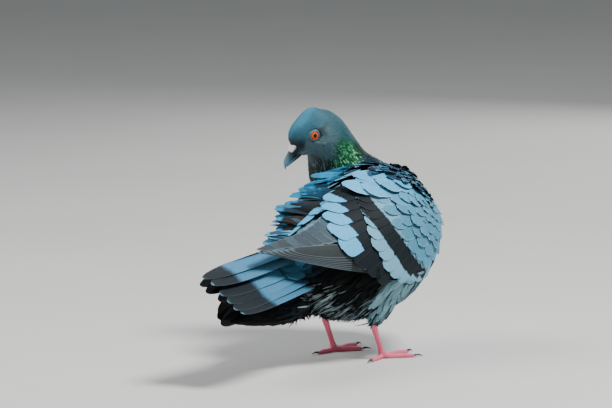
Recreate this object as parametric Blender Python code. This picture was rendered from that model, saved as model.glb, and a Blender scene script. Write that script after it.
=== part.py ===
"""Feral pigeon (Columba livia), life size, standing still with its head turned back over its left shoulder.

The bird's own frame: +X towards the breast, +Y towards its left side, +Z up. The sizes below are millimetres,
and at() turns them into Blender's metres. The floor is z = 0, under the middle of the bird's bounding box.
"""

import math

import bmesh
import bpy
from mathutils import Matrix, Vector

MM = 0.001
GAP = 0.35 * MM  # clearance between neighbouring pieces
LEFT, RIGHT = 1, -1  # the sign of y on each side of the bird
SIDE_NAMES = {LEFT: "left", RIGHT: "right"}

# Trunk: upright slices along x, each (x, top, belly, half width), tail root to breast.
TRUNK = [
    (-92, 96, 76, 8),
    (-80, 101, 63, 16),
    (-60, 110, 46, 27),
    (-35, 121, 35, 36),
    (-8, 134, 29, 42),
    (20, 142, 32, 44.5),
    (44, 141, 38, 41),
    (62, 136, 51, 35),
    (76, 123, 68, 28.5),
    (86, 108, 81, 15),
]
# Neck: centres and radii from inside the breast up to the back of the skull.
NECK = [
    ((42, 3, 96), 40),
    ((41, 24, 119), 33),
    ((34.1, 40.2, 137), 27.7),
    ((28.2, 42.4, 150), 23.2),
    ((21.5, 42.6, 161.5), 20),
    ((12, 43, 171.5), 19.5),
    ((4, 44.5, 177), 18.3),
]
# Head: the point midway between the eyes, and where the head looks.
HEAD_AT = (-2.8, 47.1, 174.9)
HEAD_TURN = math.radians(147)  # from the breast's direction, towards the left
HEAD_BOW = math.radians(40)
HEAD_ROLL = math.radians(10)  # the crown leans to the bird's right rear
# Head slices, each (forward of the eyes, crown, jaw, half width).
HEAD = [
    (-19.5, 7.5, -7, 6),
    (-16, 13.8, -13, 10.5),
    (-9, 15.6, -17, 12.8),
    (-1, 14.8, -16.8, 12.7),
    (6, 13.9, -16.0, 11.3),
    (12, 12.0, -14.2, 9),
    (16, 7.2, -11.8, 6.8),
    (18.8, 1.2, -8.2, 4.2),
]
EYE_AT = (0, 10.1, 0)
EYE_RADIUS, EYE_HALF_DEPTH = 4.6, 3.0

# Bill slices, each (forward, ridge, lower edge, half width), in the head's frame.
UPPER_BILL = [
    (16.6, 1.2, -6.4, 3.7),
    (20.5, -0.9, -6.8, 3.1),
    (24.8, -2.4, -7.4, 2.5),
    (29.2, -4.3, -8.5, 1.9),
    (31.7, -6.9, -9.9, 1.2),
    (32.8, -9.8, -11.2, 0.45),
]
LOWER_BILL = [
    (16.4, -6.9, -10.9, 3.4),
    (20.5, -7.2, -10.8, 2.9),
    (24.8, -7.9, -10.5, 2.2),
    (28, -8.8, -10.3, 1.5),
    (30.2, -9.5, -10.4, 0.6),
]
CERE = [
    (14.6, 1.6, -2.8, 3.2),
    (17, 2.5, -3.6, 4.2),
    (19, 1.3, -4.1, 4.0),
    (20.9, -0.4, -3.8, 2.9),
]

# Folded wing, right side: slices across the wing, each (x, lower edge (y, z), upper edge (y, z), bulge).
WING_RIGHT = [
    (74, (20, 96), (19, 108), 1),
    (66, (28, 87), (21, 119), 7.5),
    (58, (34.5, 79), (16, 131), 12.5),
    (43, (43, 70), (10, 144), 17),
    (22, (49, 62), (6, 149), 19),
    (0, (49, 64), (5, 144), 17),
    (-25, (45, 71), (6, 134), 12),
    (-50, (39, 81), (6, 123), 8),
    (-80, (31, 88), (8, 113), 4.5),
    (-110, (23, 94), (9, 110), 2.5),
    (-138, (16.5, 100), (10, 108), 1),
    (-152, (13.5, 103.6), (12, 105.6), 0.2),
]
# The left wing hangs a little lower and wider towards its tip.
WING_LEFT = [
    (74, (20, 94), (19, 106), 1),
    (66, (28, 85), (21, 117), 7.5),
    (58, (34.5, 76), (16, 129), 12.5),
    (43, (44, 66), (10, 142), 17),
    (22, (49, 60), (6, 148), 19),
    (0, (49, 58), (5, 143), 18),
    (-25, (47, 56), (8, 130), 15),
    (-50, (44, 53), (16, 113), 10),
    (-75, (41, 50), (26, 92), 4),
    (-96, (38, 50), (30, 76), 2),
    (-114, (35, 53), (31, 66), 1),
    (-125, (33, 56.5), (32, 59.5), 0.2),
]
WING_SKIN = 14  # thickness of the wing over its coverts
BLADE_SKIN = 1.6  # and over its flight feathers
COVERT_END = -42  # the coverts give way to the secondaries at this x
SECONDARY_END = -84  # and the secondaries to the primaries
SLAB_SIZE = 200  # the cutter that parts them reaches this far
SLAB_LEAN = 0.34  # and leans back by this much for each millimetre of height

# Tail: each half is a stack of six feathers. Where its upper and lower edges leave the body, and where each feather's
# outer edge ends, from the middle of the tail outwards. The left half hangs and splits between two feathers.
TAIL_TOP, TAIL_SKIN, TAIL_STEP, TAIL_BOW = (-82, 3, 96.5), 1.2, 0.9, 2.5
TAIL_FOOT = {RIGHT: (-78, -13, 67), LEFT: (-78, 16, 64)}
TAIL_TIPS = {
    RIGHT: [
        (-186, 10, 83.5),
        (-185, 3, 81),
        (-184, -4, 76.5),
        (-181, -11, 71.5),
        (-180, -17, 66.5),
        (-178, -23, 63.5),
        (-173, -27, 62),
    ],
    LEFT: [
        (-180, 10, 81.5),
        (-174, 11, 76),
        (-168, 11, 70),
        (-164, 9.5, 60),
        (-166, 8, 54.5),
        (-170, 6, 50.5),
        (-169, 5, 45.5),
    ],
}
TAIL_SPLIT = {RIGHT: None, LEFT: 2}
# The soft coverts under the tail: upright slices like the trunk's, set a little to the left.
UNDERTAIL = [
    (-50, 70, 47, 18),
    (-66, 74, 40.5, 20),
    (-84, 72, 37, 18),
    (-104, 66, 37.5, 14),
    (-124, 59, 39.5, 10),
    (-142, 54, 43, 6.5),
    (-157, 51, 46.5, 2.5),
]
UNDERTAIL_SIDE = 7

# Raised feathers on the left of the back: the pad they grow from, and each (root, tip, half width).
RUFFLE_PAD = [((36, 12, 147), 4), ((20, 17, 146), 5), ((2, 18, 140), 5.5), ((-14, 18, 131), 5), ((-24, 18, 124), 3.5)]
RUFFLE = [
    ((28, 15, 147), (4, 38, 141), 9),
    ((16, 17, 145), (-14, 41, 135), 10),
    ((6, 18, 141), (-26, 41, 128), 10.5),
    ((-3, 18, 137), (-39, 42, 122), 11),
    ((-12, 18, 131), (-51, 43, 116), 11),
    ((-20, 18, 126), (-59, 43, 109), 10.5),
]
TERTIAL_PAD = [((-22, 20, 119), 3.5), ((-34, 22, 111), 4), ((-46, 24, 104), 3)]
TERTIALS = [
    ((-24, 20, 118), (-66, 41, 102), 10),
    ((-32, 21, 112), (-73, 40, 96), 10),
    ((-42, 23, 106), (-80, 38, 88), 9.5),
]
RUFFLE_SKIN = 1.2  # thickness of a raised feather along its shaft
RUFFLE_RISE = (0.3, 0.45, 1)  # which way their upper sides face
RUFFLE_DROOP = 3  # how far their tips sag

# Cuts that part the flesh: (name of the piece beyond it, centre, normal, radius).
CUTS = [
    ("head", (6.5, 42.5, 171.5), (-0.62, 0.25, 0.74), 30),
    ("neck_upper", (30, 40.5, 152), (-0.55, 0.35, 0.76), 33),
    ("neck_lower", (46, 20, 124), (0.3, 0.5, 0.81), 50),
]

# Legs: the right one, and the left one's shift.
THIGH = [((8, 22, 66), 17), ((2, 24, 50), 13.5), ((-6, 24.5, 38), 8.5), ((-11.5, 24.5, 29.5), 4.2)]
TARSUS = [((-12.5, 24.5, 28.2), 2.9), ((-8, 24.5, 19), 2.2), ((-3.2, 24.5, 9), 2.2), ((-0.5, 24.5, 3.8), 3.0)]
LEFT_LEG_BACK = -2  # the left foot stands this far behind the right one
# Toes: (turn from straight ahead towards the outside, length, thickness).
TOES = {"inner": (-38, 23, 2.1), "middle": (2, 31, 2.3), "outer": (40, 25, 2.1), "hind": (172, 17, 2.0)}
CLAW_LENGTH = 7
SOLE_DEPTH = 0.25  # how much of each toe's underside is flattened by standing on it

# Finish of each kind of piece: (linear colour, roughness).
FINISHES = {
    "head": ((0.06, 0.13, 0.18), 0.65),
    "neck": ((0.03, 0.10, 0.09), 0.45),
    "trunk": ((0.20, 0.32, 0.40), 0.7),
    "undertail": ((0.03, 0.04, 0.05), 0.8),
    "scapulars": ((0.16, 0.35, 0.50), 0.65),
    "tertials": ((0.20, 0.38, 0.50), 0.65),
    "tail": ((0.14, 0.22, 0.30), 0.6),
    "wing_left_coverts": ((0.35, 0.52, 0.62), 0.65),
    "wing_right_coverts": ((0.35, 0.52, 0.62), 0.65),
    "wing": ((0.17, 0.16, 0.17), 0.6),
    "thigh": ((0.14, 0.20, 0.25), 0.75),
    "tarsus": ((0.75, 0.10, 0.18), 0.5),
    "foot": ((0.75, 0.10, 0.18), 0.5),
    "claw": ((0.03, 0.03, 0.035), 0.35),
    "bill": ((0.09, 0.15, 0.18), 0.35),
    "cere": ((0.80, 0.80, 0.80), 0.6),
    "eye": ((0.75, 0.09, 0.01), 0.1),
}


def at(x, y, z):
    """A place given in millimetres."""
    return Vector((x, y, z)) * MM


def clear_scene():
    for old in list(bpy.data.objects):
        bpy.data.objects.remove(old, do_unlink=True)


def paint(obj):
    """Gives the object its own plain finish, by the first entry of FINISHES that its name starts with."""
    colour, roughness = next(finish for start, finish in FINISHES.items() if obj.name.startswith(start))
    material = bpy.data.materials.new(f"{obj.name}_finish")
    material.use_nodes = True
    shader = material.node_tree.nodes["Principled BSDF"]
    shader.inputs["Base Color"].default_value = (*colour, 1)
    shader.inputs["Roughness"].default_value = roughness
    shader.inputs["Metallic"].default_value = 0.0
    obj.data.materials.clear()
    obj.data.materials.append(material)


def new_object(name, bm):
    """Turns a closed bmesh into an object whose faces point out."""
    bmesh.ops.recalc_face_normals(bm, faces=bm.faces)
    mesh = bpy.data.meshes.new(name)
    bm.to_mesh(mesh)
    bm.free()
    mesh.shade_smooth()
    obj = bpy.data.objects.new(name, mesh)
    bpy.context.scene.collection.objects.link(obj)
    return obj


def eased(rows, share):
    """A point on the smooth curve through rows of numbers, at a share from 0 to 1 of the way along."""
    place = share * (len(rows) - 1)
    i = min(int(place), len(rows) - 2)
    t = place - i
    before, start = rows[max(i - 1, 0)], rows[i]
    end, after = rows[i + 1], rows[min(i + 2, len(rows) - 1)]
    return [
        0.5 * (2 * b + (c - a) * t + (2 * a - 5 * b + 4 * c - d) * t * t + (3 * b - a - 3 * c + d) * t**3)
        for a, b, c, d in zip(before, start, end, after)
    ]


def loft(name, rings):
    """A closed solid through rings of points: the first ring is a circle that is extruded from ring to ring."""
    bm = bmesh.new()
    seat = bm.verts.layers.int.new("seat")
    verts = bmesh.ops.create_circle(bm, segments=len(rings[0]), radius=MM)["verts"]
    for i, vert in enumerate(verts):
        vert[seat] = i
        vert.co = rings[0][i]
    bm.faces.new(verts)
    edges = [e for e in bm.edges]
    for ring in rings[1:]:
        out = bmesh.ops.extrude_edge_only(bm, edges=edges)["geom"]
        edges = [g for g in out if isinstance(g, bmesh.types.BMEdge)]
        verts = [g for g in out if isinstance(g, bmesh.types.BMVert)]
        for vert in verts:
            vert.co = ring[vert[seat]]
    bm.faces.new(sorted(verts, key=lambda v: v[seat]))
    return new_object(name, bm)


def oval(centre, side, up, half_width, rise, drop, around):
    """A ring of points about centre: half_width to each side, rise above it and drop below it."""
    ring = []
    for k in range(around):
        angle = 2 * math.pi * k / around
        height = math.sin(angle) * (rise if math.sin(angle) > 0 else drop)
        ring.append(centre + side * (half_width * math.cos(angle)) + up * height)
    return ring


def tube(name, stops, around=12, steps=10, domed=True):
    """A round solid along the smooth curve through stops of (centre, radius), with rounded ends."""
    rows = [(*centre, radius) for centre, radius in stops]
    path = [eased(rows, k / steps) for k in range(steps + 1)]
    rings = []
    for k, (x, y, z, radius) in enumerate(path):
        behind, ahead = path[max(k - 1, 0)], path[min(k + 1, steps)]
        along = (Vector(ahead[:3]) - Vector(behind[:3])).normalized()
        side = along.cross(Vector((0.02, 0.03, 1))).normalized()
        up = side.cross(along)
        ring = oval(at(x, y, z), side, up, radius * MM, radius * MM, radius * MM, around)
        if domed and k in (0, steps):
            away = along * (radius * MM * (0.55 if k else -0.55))
            cap = [at(x, y, z) + away + (p - at(x, y, z)) * 0.55 for p in ring]
            rings += [ring, cap] if k else [cap, ring]
        else:
            rings.append(ring)
    return loft(name, rings)


def applied(obj):
    """Replaces the object's mesh with what its modifiers make of it."""
    graph = bpy.context.evaluated_depsgraph_get()
    made = bpy.data.meshes.new_from_object(obj.evaluated_get(graph))
    obj.modifiers.clear()
    obj.data = made
    return obj


def remove(*objs):
    for obj in objs:
        bpy.data.objects.remove(obj, do_unlink=True)


def tidied(obj):
    """Closes up the specks that a cut leaves and splits its many-sided faces into triangles."""
    bm = bmesh.new()
    bm.from_mesh(obj.data)
    bmesh.ops.remove_doubles(bm, verts=bm.verts, dist=0.02 * MM)
    bmesh.ops.dissolve_degenerate(bm, edges=bm.edges, dist=0.02 * MM)
    bmesh.ops.triangulate(bm, faces=[f for f in bm.faces if len(f.verts) > 3])
    bm.to_mesh(obj.data)
    bm.free()
    return obj


def combine(obj, other, operation):
    """Joins, cuts or trims obj with other, and applies it."""
    step = obj.modifiers.new(operation.lower(), "BOOLEAN")
    step.operation = operation
    step.object = other
    step.solver = "EXACT"
    return tidied(applied(obj))


def grown(obj, by):
    """A copy of the object with its surface moved out, for cutting a clearance."""
    bm = bmesh.new()
    bm.from_mesh(obj.data)
    bm.normal_update()
    for vert, normal in [(v, v.normal.copy()) for v in bm.verts]:
        vert.co += normal * by
    return new_object("grown", bm)


def cut_clear(obj, *others):
    """Cuts obj back so that it clears the other pieces."""
    for other in others:
        cutter = grown(other, GAP)
        combine(obj, cutter, "DIFFERENCE")
        remove(cutter)
    keep_largest(obj)
    return obj


def islands(bm):
    """The separate bodies in a mesh, as lists of vertices."""
    left, found = set(bm.verts), []
    while left:
        todo = [left.pop()]
        body = list(todo)
        while todo:
            for edge in todo.pop().link_edges:
                for vert in edge.verts:
                    if vert in left:
                        left.remove(vert)
                        todo.append(vert)
                        body.append(vert)
        found.append(body)
    return found


def keep_largest(obj):
    """Drops the slivers that a cut can leave beside the piece."""
    bm = bmesh.new()
    bm.from_mesh(obj.data)

    def reach(body):
        return sum(max(v.co[i] for v in body) - min(v.co[i] for v in body) for i in range(3))

    for body in sorted(islands(bm), key=reach)[:-1]:
        bmesh.ops.delete(bm, geom=body, context="VERTS")
    bm.to_mesh(obj.data)
    bm.free()


def thinned(obj, ratio):
    """Drops the small triangles that cuts leave along their edges, keeping the shape."""
    step = obj.modifiers.new("thin", "DECIMATE")
    step.ratio = ratio
    return applied(obj)


def disc(centre, normal, radius):
    """A thin round cutter that parts a body, GAP thick."""
    bm = bmesh.new()
    bmesh.ops.create_cone(bm, cap_ends=True, segments=32, radius1=radius * MM, radius2=radius * MM, depth=GAP)
    turn = Vector(normal).to_track_quat("Z", "Y").to_matrix().to_4x4()
    bmesh.ops.transform(bm, matrix=Matrix.Translation(at(*centre)) @ turn, verts=bm.verts)
    return new_object("disc", bm)


# --- Flesh: trunk, neck and head, modelled whole and then parted with thin cuts ---


def head_frame():
    """The head's own frame: x forward, y to its left, z to its crown, midway between the eyes."""
    turn = Matrix.Rotation(HEAD_TURN, 4, "Z")
    bow = Matrix.Rotation(HEAD_BOW, 4, "Y")
    roll = Matrix.Rotation(-HEAD_ROLL, 4, "X")
    return Matrix.Translation(at(*HEAD_AT)) @ turn @ bow @ roll


def sliced(name, slices, frame, around=20, steps=12):
    """A solid through (forward, top, bottom, half width) slices, in millimetres, in a frame."""
    turn = frame.to_3x3()
    rings = []
    for k in range(steps + 1):
        x, top, bottom, width = eased(slices, k / steps)
        middle = (top + bottom) / 2
        half = (top - bottom) / 2 * MM
        centre = frame @ at(x, 0, middle)
        rings.append(oval(centre, turn @ Vector((0, 1, 0)), turn @ Vector((0, 0, 1)), width * MM, half, half, around))
    return loft(name, rings)


def make_flesh():
    whole = sliced("flesh", TRUNK, Matrix.Identity(4), around=28, steps=18)
    neck = tube("neck", NECK, around=24, steps=12)
    head = sliced("head", HEAD, head_frame(), around=24, steps=14)
    for part in (neck, head):
        combine(whole, part, "UNION")
        remove(part)
    blend = whole.modifiers.new("blend", "REMESH")
    blend.mode = "VOXEL"
    blend.voxel_size = 2.0 * MM
    ease = whole.modifiers.new("ease", "SMOOTH")
    ease.factor = 0.5
    ease.iterations = 8
    thin = whole.modifiers.new("thin", "DECIMATE")
    thin.ratio = 0.042
    return applied(whole)


def part_flesh(whole):
    """Cuts the flesh across its joints and names each piece."""
    for _, centre, normal, radius in CUTS:
        cutter = disc(centre, normal, radius)
        combine(whole, cutter, "DIFFERENCE")
        remove(cutter)
    bm = bmesh.new()
    bm.from_mesh(whole.data)
    bodies = sorted(islands(bm), key=len)[-(len(CUTS) + 1):]
    spots = [sum((v.co for v in body), Vector()) / len(body) for body in bodies]
    bm.free()
    order = sorted(range(len(bodies)), key=lambda i: -spots[i].z)
    pieces = {}
    for name, rank in zip([c[0] for c in CUTS] + ["trunk"], order):
        pieces[name] = copy_island(whole, name, spots[rank])
    remove(whole)
    return pieces


def copy_island(whole, name, spot):
    """A new object of the body in whole whose vertices centre on spot."""
    bm = bmesh.new()
    bm.from_mesh(whole.data)
    for body in islands(bm):
        centre = sum((v.co for v in body), Vector()) / len(body)
        if (centre - spot).length > 1e-6:
            bmesh.ops.delete(bm, geom=body, context="VERTS")
    return new_object(name, bm)


# --- Head pieces ---


def make_eye(side):
    bm = bmesh.new()
    bmesh.ops.create_uvsphere(bm, u_segments=14, v_segments=8, radius=EYE_RADIUS * MM)
    flat = Matrix.Diagonal((1, EYE_HALF_DEPTH / EYE_RADIUS, 1, 1))
    place = Matrix.Translation(at(EYE_AT[0], side * EYE_AT[1], EYE_AT[2]))
    bmesh.ops.rotate(bm, matrix=Matrix.Rotation(math.pi / 2, 3, "X"), verts=bm.verts)
    bmesh.ops.transform(bm, matrix=head_frame() @ place @ flat, verts=bm.verts)
    return new_object(f"eye_{SIDE_NAMES[side]}", bm)


def make_bill():
    frame = head_frame()
    upper = sliced("bill_upper", UPPER_BILL, frame, around=10, steps=7)
    lower = sliced("bill_lower", LOWER_BILL, frame, around=10, steps=4)
    cere = sliced("cere", CERE, frame, around=10, steps=5)
    return upper, lower, cere


# --- Wings ---


def wing_ring(row, side, thickness, around=6):
    """One slice across a folded wing: an outer arc from its lower to its upper edge, and back along the inside."""
    x, low_y, low_z, high_y, high_z, bulge = row
    low, high = Vector((low_y, low_z)), Vector((high_y, high_z))
    chord = high - low
    out = Vector((chord.y, -chord.x)).normalized()
    if out.x < 0:
        out = -out
    outer, inner = [], []
    for k in range(around + 1):
        t = k / around
        crown = math.sin(math.pi * t) ** 0.8
        spot = low + chord * t + out * (bulge * crown)
        thick = thickness * (0.35 + 0.65 * crown)
        outer.append(spot)
        inner.append(spot - out * thick)
    return [at(x, side * p.x, p.y) for p in outer + inner[::-1]]


def thickness_at(x):
    """The wing thins from its coverts to its flight feathers."""
    share = min(max((x - SECONDARY_END) / (COVERT_END - SECONDARY_END), 0), 1)
    return BLADE_SKIN + (WING_SKIN - BLADE_SKIN) * share


def make_wing(side, rows, steps=13):
    flat = [(x, *low, *high, bulge) for x, low, high, bulge in rows]
    rings = []
    for k in range(steps + 1):
        row = eased(flat, k / steps)
        rings.append(wing_ring(row, side, thickness_at(row[0])))
    return loft(f"wing_{SIDE_NAMES[side]}", rings)


def slab(x):
    """A thin upright cutter across a wing at x, leaning back towards its top as the coverts' edge does."""
    bm = bmesh.new()
    bmesh.ops.create_cube(bm, size=1)
    bmesh.ops.scale(bm, vec=(GAP, SLAB_SIZE * MM, SLAB_SIZE * MM), verts=bm.verts)
    for vert in bm.verts:
        height = vert.co.z / MM
        vert.co += at(x - SLAB_LEAN * height, 0, SLAB_SIZE / 2)
    return new_object("slab", bm)


def part_wing(wing, side):
    """Parts a wing into coverts, secondaries and primaries along the coverts' slanting edges."""
    name = SIDE_NAMES[side]
    for x in (COVERT_END, SECONDARY_END):
        cutter = slab(x)
        combine(wing, cutter, "DIFFERENCE")
        remove(cutter)
    bm = bmesh.new()
    bm.from_mesh(wing.data)
    bodies = sorted(islands(bm), key=len)[-3:]
    spots = sorted((sum((v.co for v in body), Vector()) / len(body) for body in bodies), key=lambda p: -p.x)
    bm.free()
    kinds = ("coverts", "secondaries", "primaries")
    pieces = [copy_island(wing, f"wing_{name}_{kind}", spot) for kind, spot in zip(kinds, spots)]
    remove(wing)
    return pieces


# --- Tail and the raised feathers of the back ---


def vane(t):
    """Half width of a feather at a share t of its length, as a share of its full width: it ends in a blunt arc."""
    tip = max(t - 0.84, 0) / 0.16
    return (0.42 + 0.58 * math.sin(min(t / 0.6, 1) * math.pi / 2)) * math.sqrt(max(1 - tip**2, 0.02))


def make_tail_half(side, steps=6):
    """Half the tail as one stack: each feather's outer edge stands a little proud of the next one."""
    tips = [Vector(tip) for tip in TAIL_TIPS[side]]
    top, foot = Vector(TAIL_TOP), Vector(TAIL_FOOT[side])
    roots = [top.lerp(foot, n / (len(tips) - 1)) for n in range(len(tips))]
    rings = []
    for k in range(steps + 1):
        t = k / steps
        bow = TAIL_BOW * math.sin(math.pi * t)
        edges = [root.lerp(tip, t) for root, tip in zip(roots, tips)]
        upper, under = [], []
        for n in range(len(tips) - 1):
            along = (tips[n + 1] - roots[n + 1]).normalized()
            out = (along.cross(edges[n + 1] - edges[n]) * -side).normalized()
            lift = out * (TAIL_STEP * (0.4 + 0.6 * t) + bow * (n + 1) / len(tips))
            under.append(edges[n] + out * (bow * n / len(tips) - TAIL_SKIN))
            reach = 0 if k < steps else (-9 if n == TAIL_SPLIT[side] else 4)
            middle = edges[n].lerp(edges[n + 1], 0.5) + along * reach
            upper += [edges[n] + out * (bow * n / len(tips)), middle + lift * 0.8, edges[n + 1] + lift]
        under.append(edges[-1] + out * (bow - TAIL_SKIN))
        rings.append([at(*p) for p in upper + under[::-1]])
    return loft(f"tail_{SIDE_NAMES[side]}", rings)


def blade(name, root, along, length, half_width, steps=4):
    """One raised feather as a thin leaf: root to rounded tip, thickest along its shaft, its tip sagging."""
    along = Vector(along).normalized()
    side = Vector(RUFFLE_RISE).cross(along).normalized()
    up = along.cross(side)
    rings = []
    for k in range(steps + 1):
        t = k / steps
        width = half_width * MM * vane(t)
        spine = RUFFLE_SKIN * MM * (1 - 0.35 * t) / 2
        centre = at(*root) + along * (length * MM * t) - up * (RUFFLE_DROOP * MM * t * t)
        edge = 0.3 * MM
        rings.append(
            [
                centre - side * width - up * edge,
                centre - up * spine,
                centre + side * width - up * edge,
                centre + side * width + up * edge,
                centre + up * spine,
                centre - side * width + up * edge,
            ]
        )
    return loft(name, rings)


def make_undertail():
    rows = [(x, top, bottom, width) for x, top, bottom, width in UNDERTAIL]
    return sliced("undertail", rows, Matrix.Translation(at(0, UNDERTAIL_SIDE, 0)), around=16, steps=8)


# --- Legs ---


def leg_stops(stops, side):
    """The right leg's stops, carried over to a side."""
    back = LEFT_LEG_BACK if side == LEFT else 0
    return [((x - back, side * y, z), radius) for (x, y, z), radius in stops]


def toe_stops(side, turn, length, thick):
    """A toe's centre line from the foot's joint to its claw, with a pad under each bone."""
    x, y, z = leg_stops(TARSUS, side)[-1][0]
    angle = math.radians(turn) * side
    ahead = Vector((math.cos(angle), math.sin(angle), 0))
    stops = [((x, y, 3.2), thick)]
    for share, swell in ((0.22, 1.0), (0.45, 0.9), (0.62, 1.02), (0.82, 0.84), (1.0, 0.74)):
        spot = Vector((x, y, 0)) + ahead * (length * share)
        radius = thick * swell
        stops.append(((spot.x, spot.y, radius - SOLE_DEPTH), radius))
    return stops, ahead


def make_foot(side):
    """The toes of one foot, joined under the ankle, with their soles flattened where they bear."""
    name = SIDE_NAMES[side]
    x, y, z = leg_stops(TARSUS, side)[-1][0]
    foot = tube(f"foot_{name}", [((x - 1.2, y, 3.0), 2.6), ((x + 1.4, y, 2.8), 2.6)], around=8, steps=2)
    for turn, length, thick in TOES.values():
        toe = tube("toe", toe_stops(side, turn, length, thick)[0], around=8, steps=6)
        combine(foot, toe, "UNION")
        remove(toe)
    thinned(foot, 0.45)
    bm = bmesh.new()
    bm.from_mesh(foot.data)
    everything = bm.verts[:] + bm.edges[:] + bm.faces[:]
    cut = bmesh.ops.bisect_plane(bm, geom=everything, plane_co=(0, 0, 0), plane_no=(0, 0, -1), clear_outer=True)
    rims = [g for g in cut["geom_cut"] if isinstance(g, bmesh.types.BMEdge)]
    bmesh.ops.holes_fill(bm, edges=rims, sides=0)
    bmesh.ops.recalc_face_normals(bm, faces=bm.faces)
    bm.to_mesh(foot.data)
    bm.free()
    return foot


def make_claws(side):
    claws = []
    for kind, (turn, length, thick) in TOES.items():
        stops, ahead = toe_stops(side, turn, length, thick)
        (x, y, z), radius = stops[-1]
        tip = Vector((x, y, 0)) + ahead * (radius * 0.55)
        line = []
        for share, rise, size in ((0.0, 0.5, 0.72), (0.4, 0.9, 0.55), (0.75, 0.3, 0.36), (1.0, -0.75, 0.12)):
            spot = tip + ahead * (CLAW_LENGTH * share + 0.3)
            line.append(((spot.x, spot.y, z + rise * 0.9), radius * size))
        claws.append(tube(f"claw_{SIDE_NAMES[side]}_{kind}", line, around=6, steps=3))
    return claws


def settle(objs):
    """Moves the bird so that the origin is on the floor, under the middle of its bounding box."""
    points = [v.co for obj in objs for v in obj.data.vertices]
    low = Vector([min(p[i] for p in points) for i in range(3)])
    high = Vector([max(p[i] for p in points) for i in range(3)])
    shift = Matrix.Translation((-(low.x + high.x) / 2, -(low.y + high.y) / 2, -low.z))
    for obj in objs:
        obj.data.transform(shift)
    print("moved by", [round(v / MM, 3) for v in shift.translation])


def make_tuft(name, pad, feathers):
    """A row of raised feathers, overlapping and joined along the pad they grow from."""
    whole = tube(name, pad, around=8, steps=6)
    for root, tip, half_width in feathers:
        start, end = Vector(root), Vector(tip)
        along = end - start
        feather = blade("feather", start, along, along.length, half_width)
        combine(whole, feather, "UNION")
        remove(feather)
    return whole


def make_thigh(side):
    return tube(f"thigh_{SIDE_NAMES[side]}", leg_stops(THIGH, side), around=14, steps=6)


def make_tarsus(side):
    return tube(f"tarsus_{SIDE_NAMES[side]}", leg_stops(TARSUS, side), around=8, steps=3)


def main():
    clear_scene()
    flesh = part_flesh(make_flesh())
    trunk, head = flesh["trunk"], flesh["head"]
    necks = [flesh["neck_lower"], flesh["neck_upper"]]
    upper, lower, cere = make_bill()
    eyes = [make_eye(side) for side in (LEFT, RIGHT)]
    for piece in (upper, lower, cere):
        cut_clear(piece, head, flesh["neck_upper"])
    cut_clear(cere, upper)
    cut_clear(lower, upper)
    for piece in (upper, lower, cere):
        thinned(piece, 0.75)
    for eye in eyes:
        cut_clear(head, eye)
    feathers = []
    for side, rows in ((LEFT, WING_LEFT), (RIGHT, WING_RIGHT)):
        for piece in part_wing(make_wing(side, rows), side):
            feathers.append(cut_clear(piece, trunk, *necks))
    tails = [make_tail_half(RIGHT), make_tail_half(LEFT)]
    cut_clear(tails[0], trunk)
    cut_clear(tails[1], trunk, tails[0])
    undertail = cut_clear(make_undertail(), trunk, *tails)
    ruffle = make_tuft("scapulars_left", RUFFLE_PAD, RUFFLE)
    tertials = make_tuft("tertials_left", TERTIAL_PAD, TERTIALS)
    cut_clear(ruffle, trunk, *necks, *feathers[:2])
    cut_clear(tertials, trunk, ruffle, *feathers[:3])
    for piece in (*feathers, ruffle):
        thinned(piece, 0.6)
    legs = []
    for side in (LEFT, RIGHT):
        thigh, tarsus, foot = make_thigh(side), make_tarsus(side), make_foot(side)
        cut_clear(tarsus, foot)
        thinned(cut_clear(thigh, trunk, tarsus), 0.7)
        claws = make_claws(side)
        for claw in claws:
            cut_clear(claw, foot)
        legs += [thigh, tarsus, foot, *claws]
    bird = [trunk, *necks, head, *eyes, upper, lower, cere, *feathers, *tails, undertail, ruffle, tertials, *legs]
    for piece in bird:
        paint(piece)
    settle(bird)


main()
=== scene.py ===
"""Feral pigeon, life size, for a museum case: skin, feathers, bill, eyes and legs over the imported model.

Lengths are millimetres in the bird's own frame: +X towards the breast, +Y towards its left side, +Z up, with
the origin on the floor between the feet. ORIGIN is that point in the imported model's frame, in metres.
"""

import math

import bmesh
import bpy
import numpy as np
from mathutils import Matrix, Vector
from mathutils.bvhtree import BVHTree


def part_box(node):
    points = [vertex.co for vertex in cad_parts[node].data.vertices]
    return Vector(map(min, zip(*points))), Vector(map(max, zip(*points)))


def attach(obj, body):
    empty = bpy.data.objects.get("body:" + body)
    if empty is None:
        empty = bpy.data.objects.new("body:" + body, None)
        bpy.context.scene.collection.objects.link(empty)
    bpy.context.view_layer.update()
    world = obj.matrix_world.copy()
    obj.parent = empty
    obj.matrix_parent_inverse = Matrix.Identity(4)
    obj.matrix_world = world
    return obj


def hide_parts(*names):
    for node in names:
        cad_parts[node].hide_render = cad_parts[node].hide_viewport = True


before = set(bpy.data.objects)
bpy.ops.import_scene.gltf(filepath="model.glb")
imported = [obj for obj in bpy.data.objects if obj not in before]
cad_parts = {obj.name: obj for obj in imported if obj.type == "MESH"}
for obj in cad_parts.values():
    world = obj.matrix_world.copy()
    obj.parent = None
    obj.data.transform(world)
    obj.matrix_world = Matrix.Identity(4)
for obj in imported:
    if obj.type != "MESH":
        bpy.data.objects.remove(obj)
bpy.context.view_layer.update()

MM = 0.001
LEFT, RIGHT = 1, -1
SIDE_NAMES = {LEFT: "left", RIGHT: "right"}

# Sizes. The head, wings and tail repeat the slices of the solids, so that feathers meet the same outline.

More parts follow.
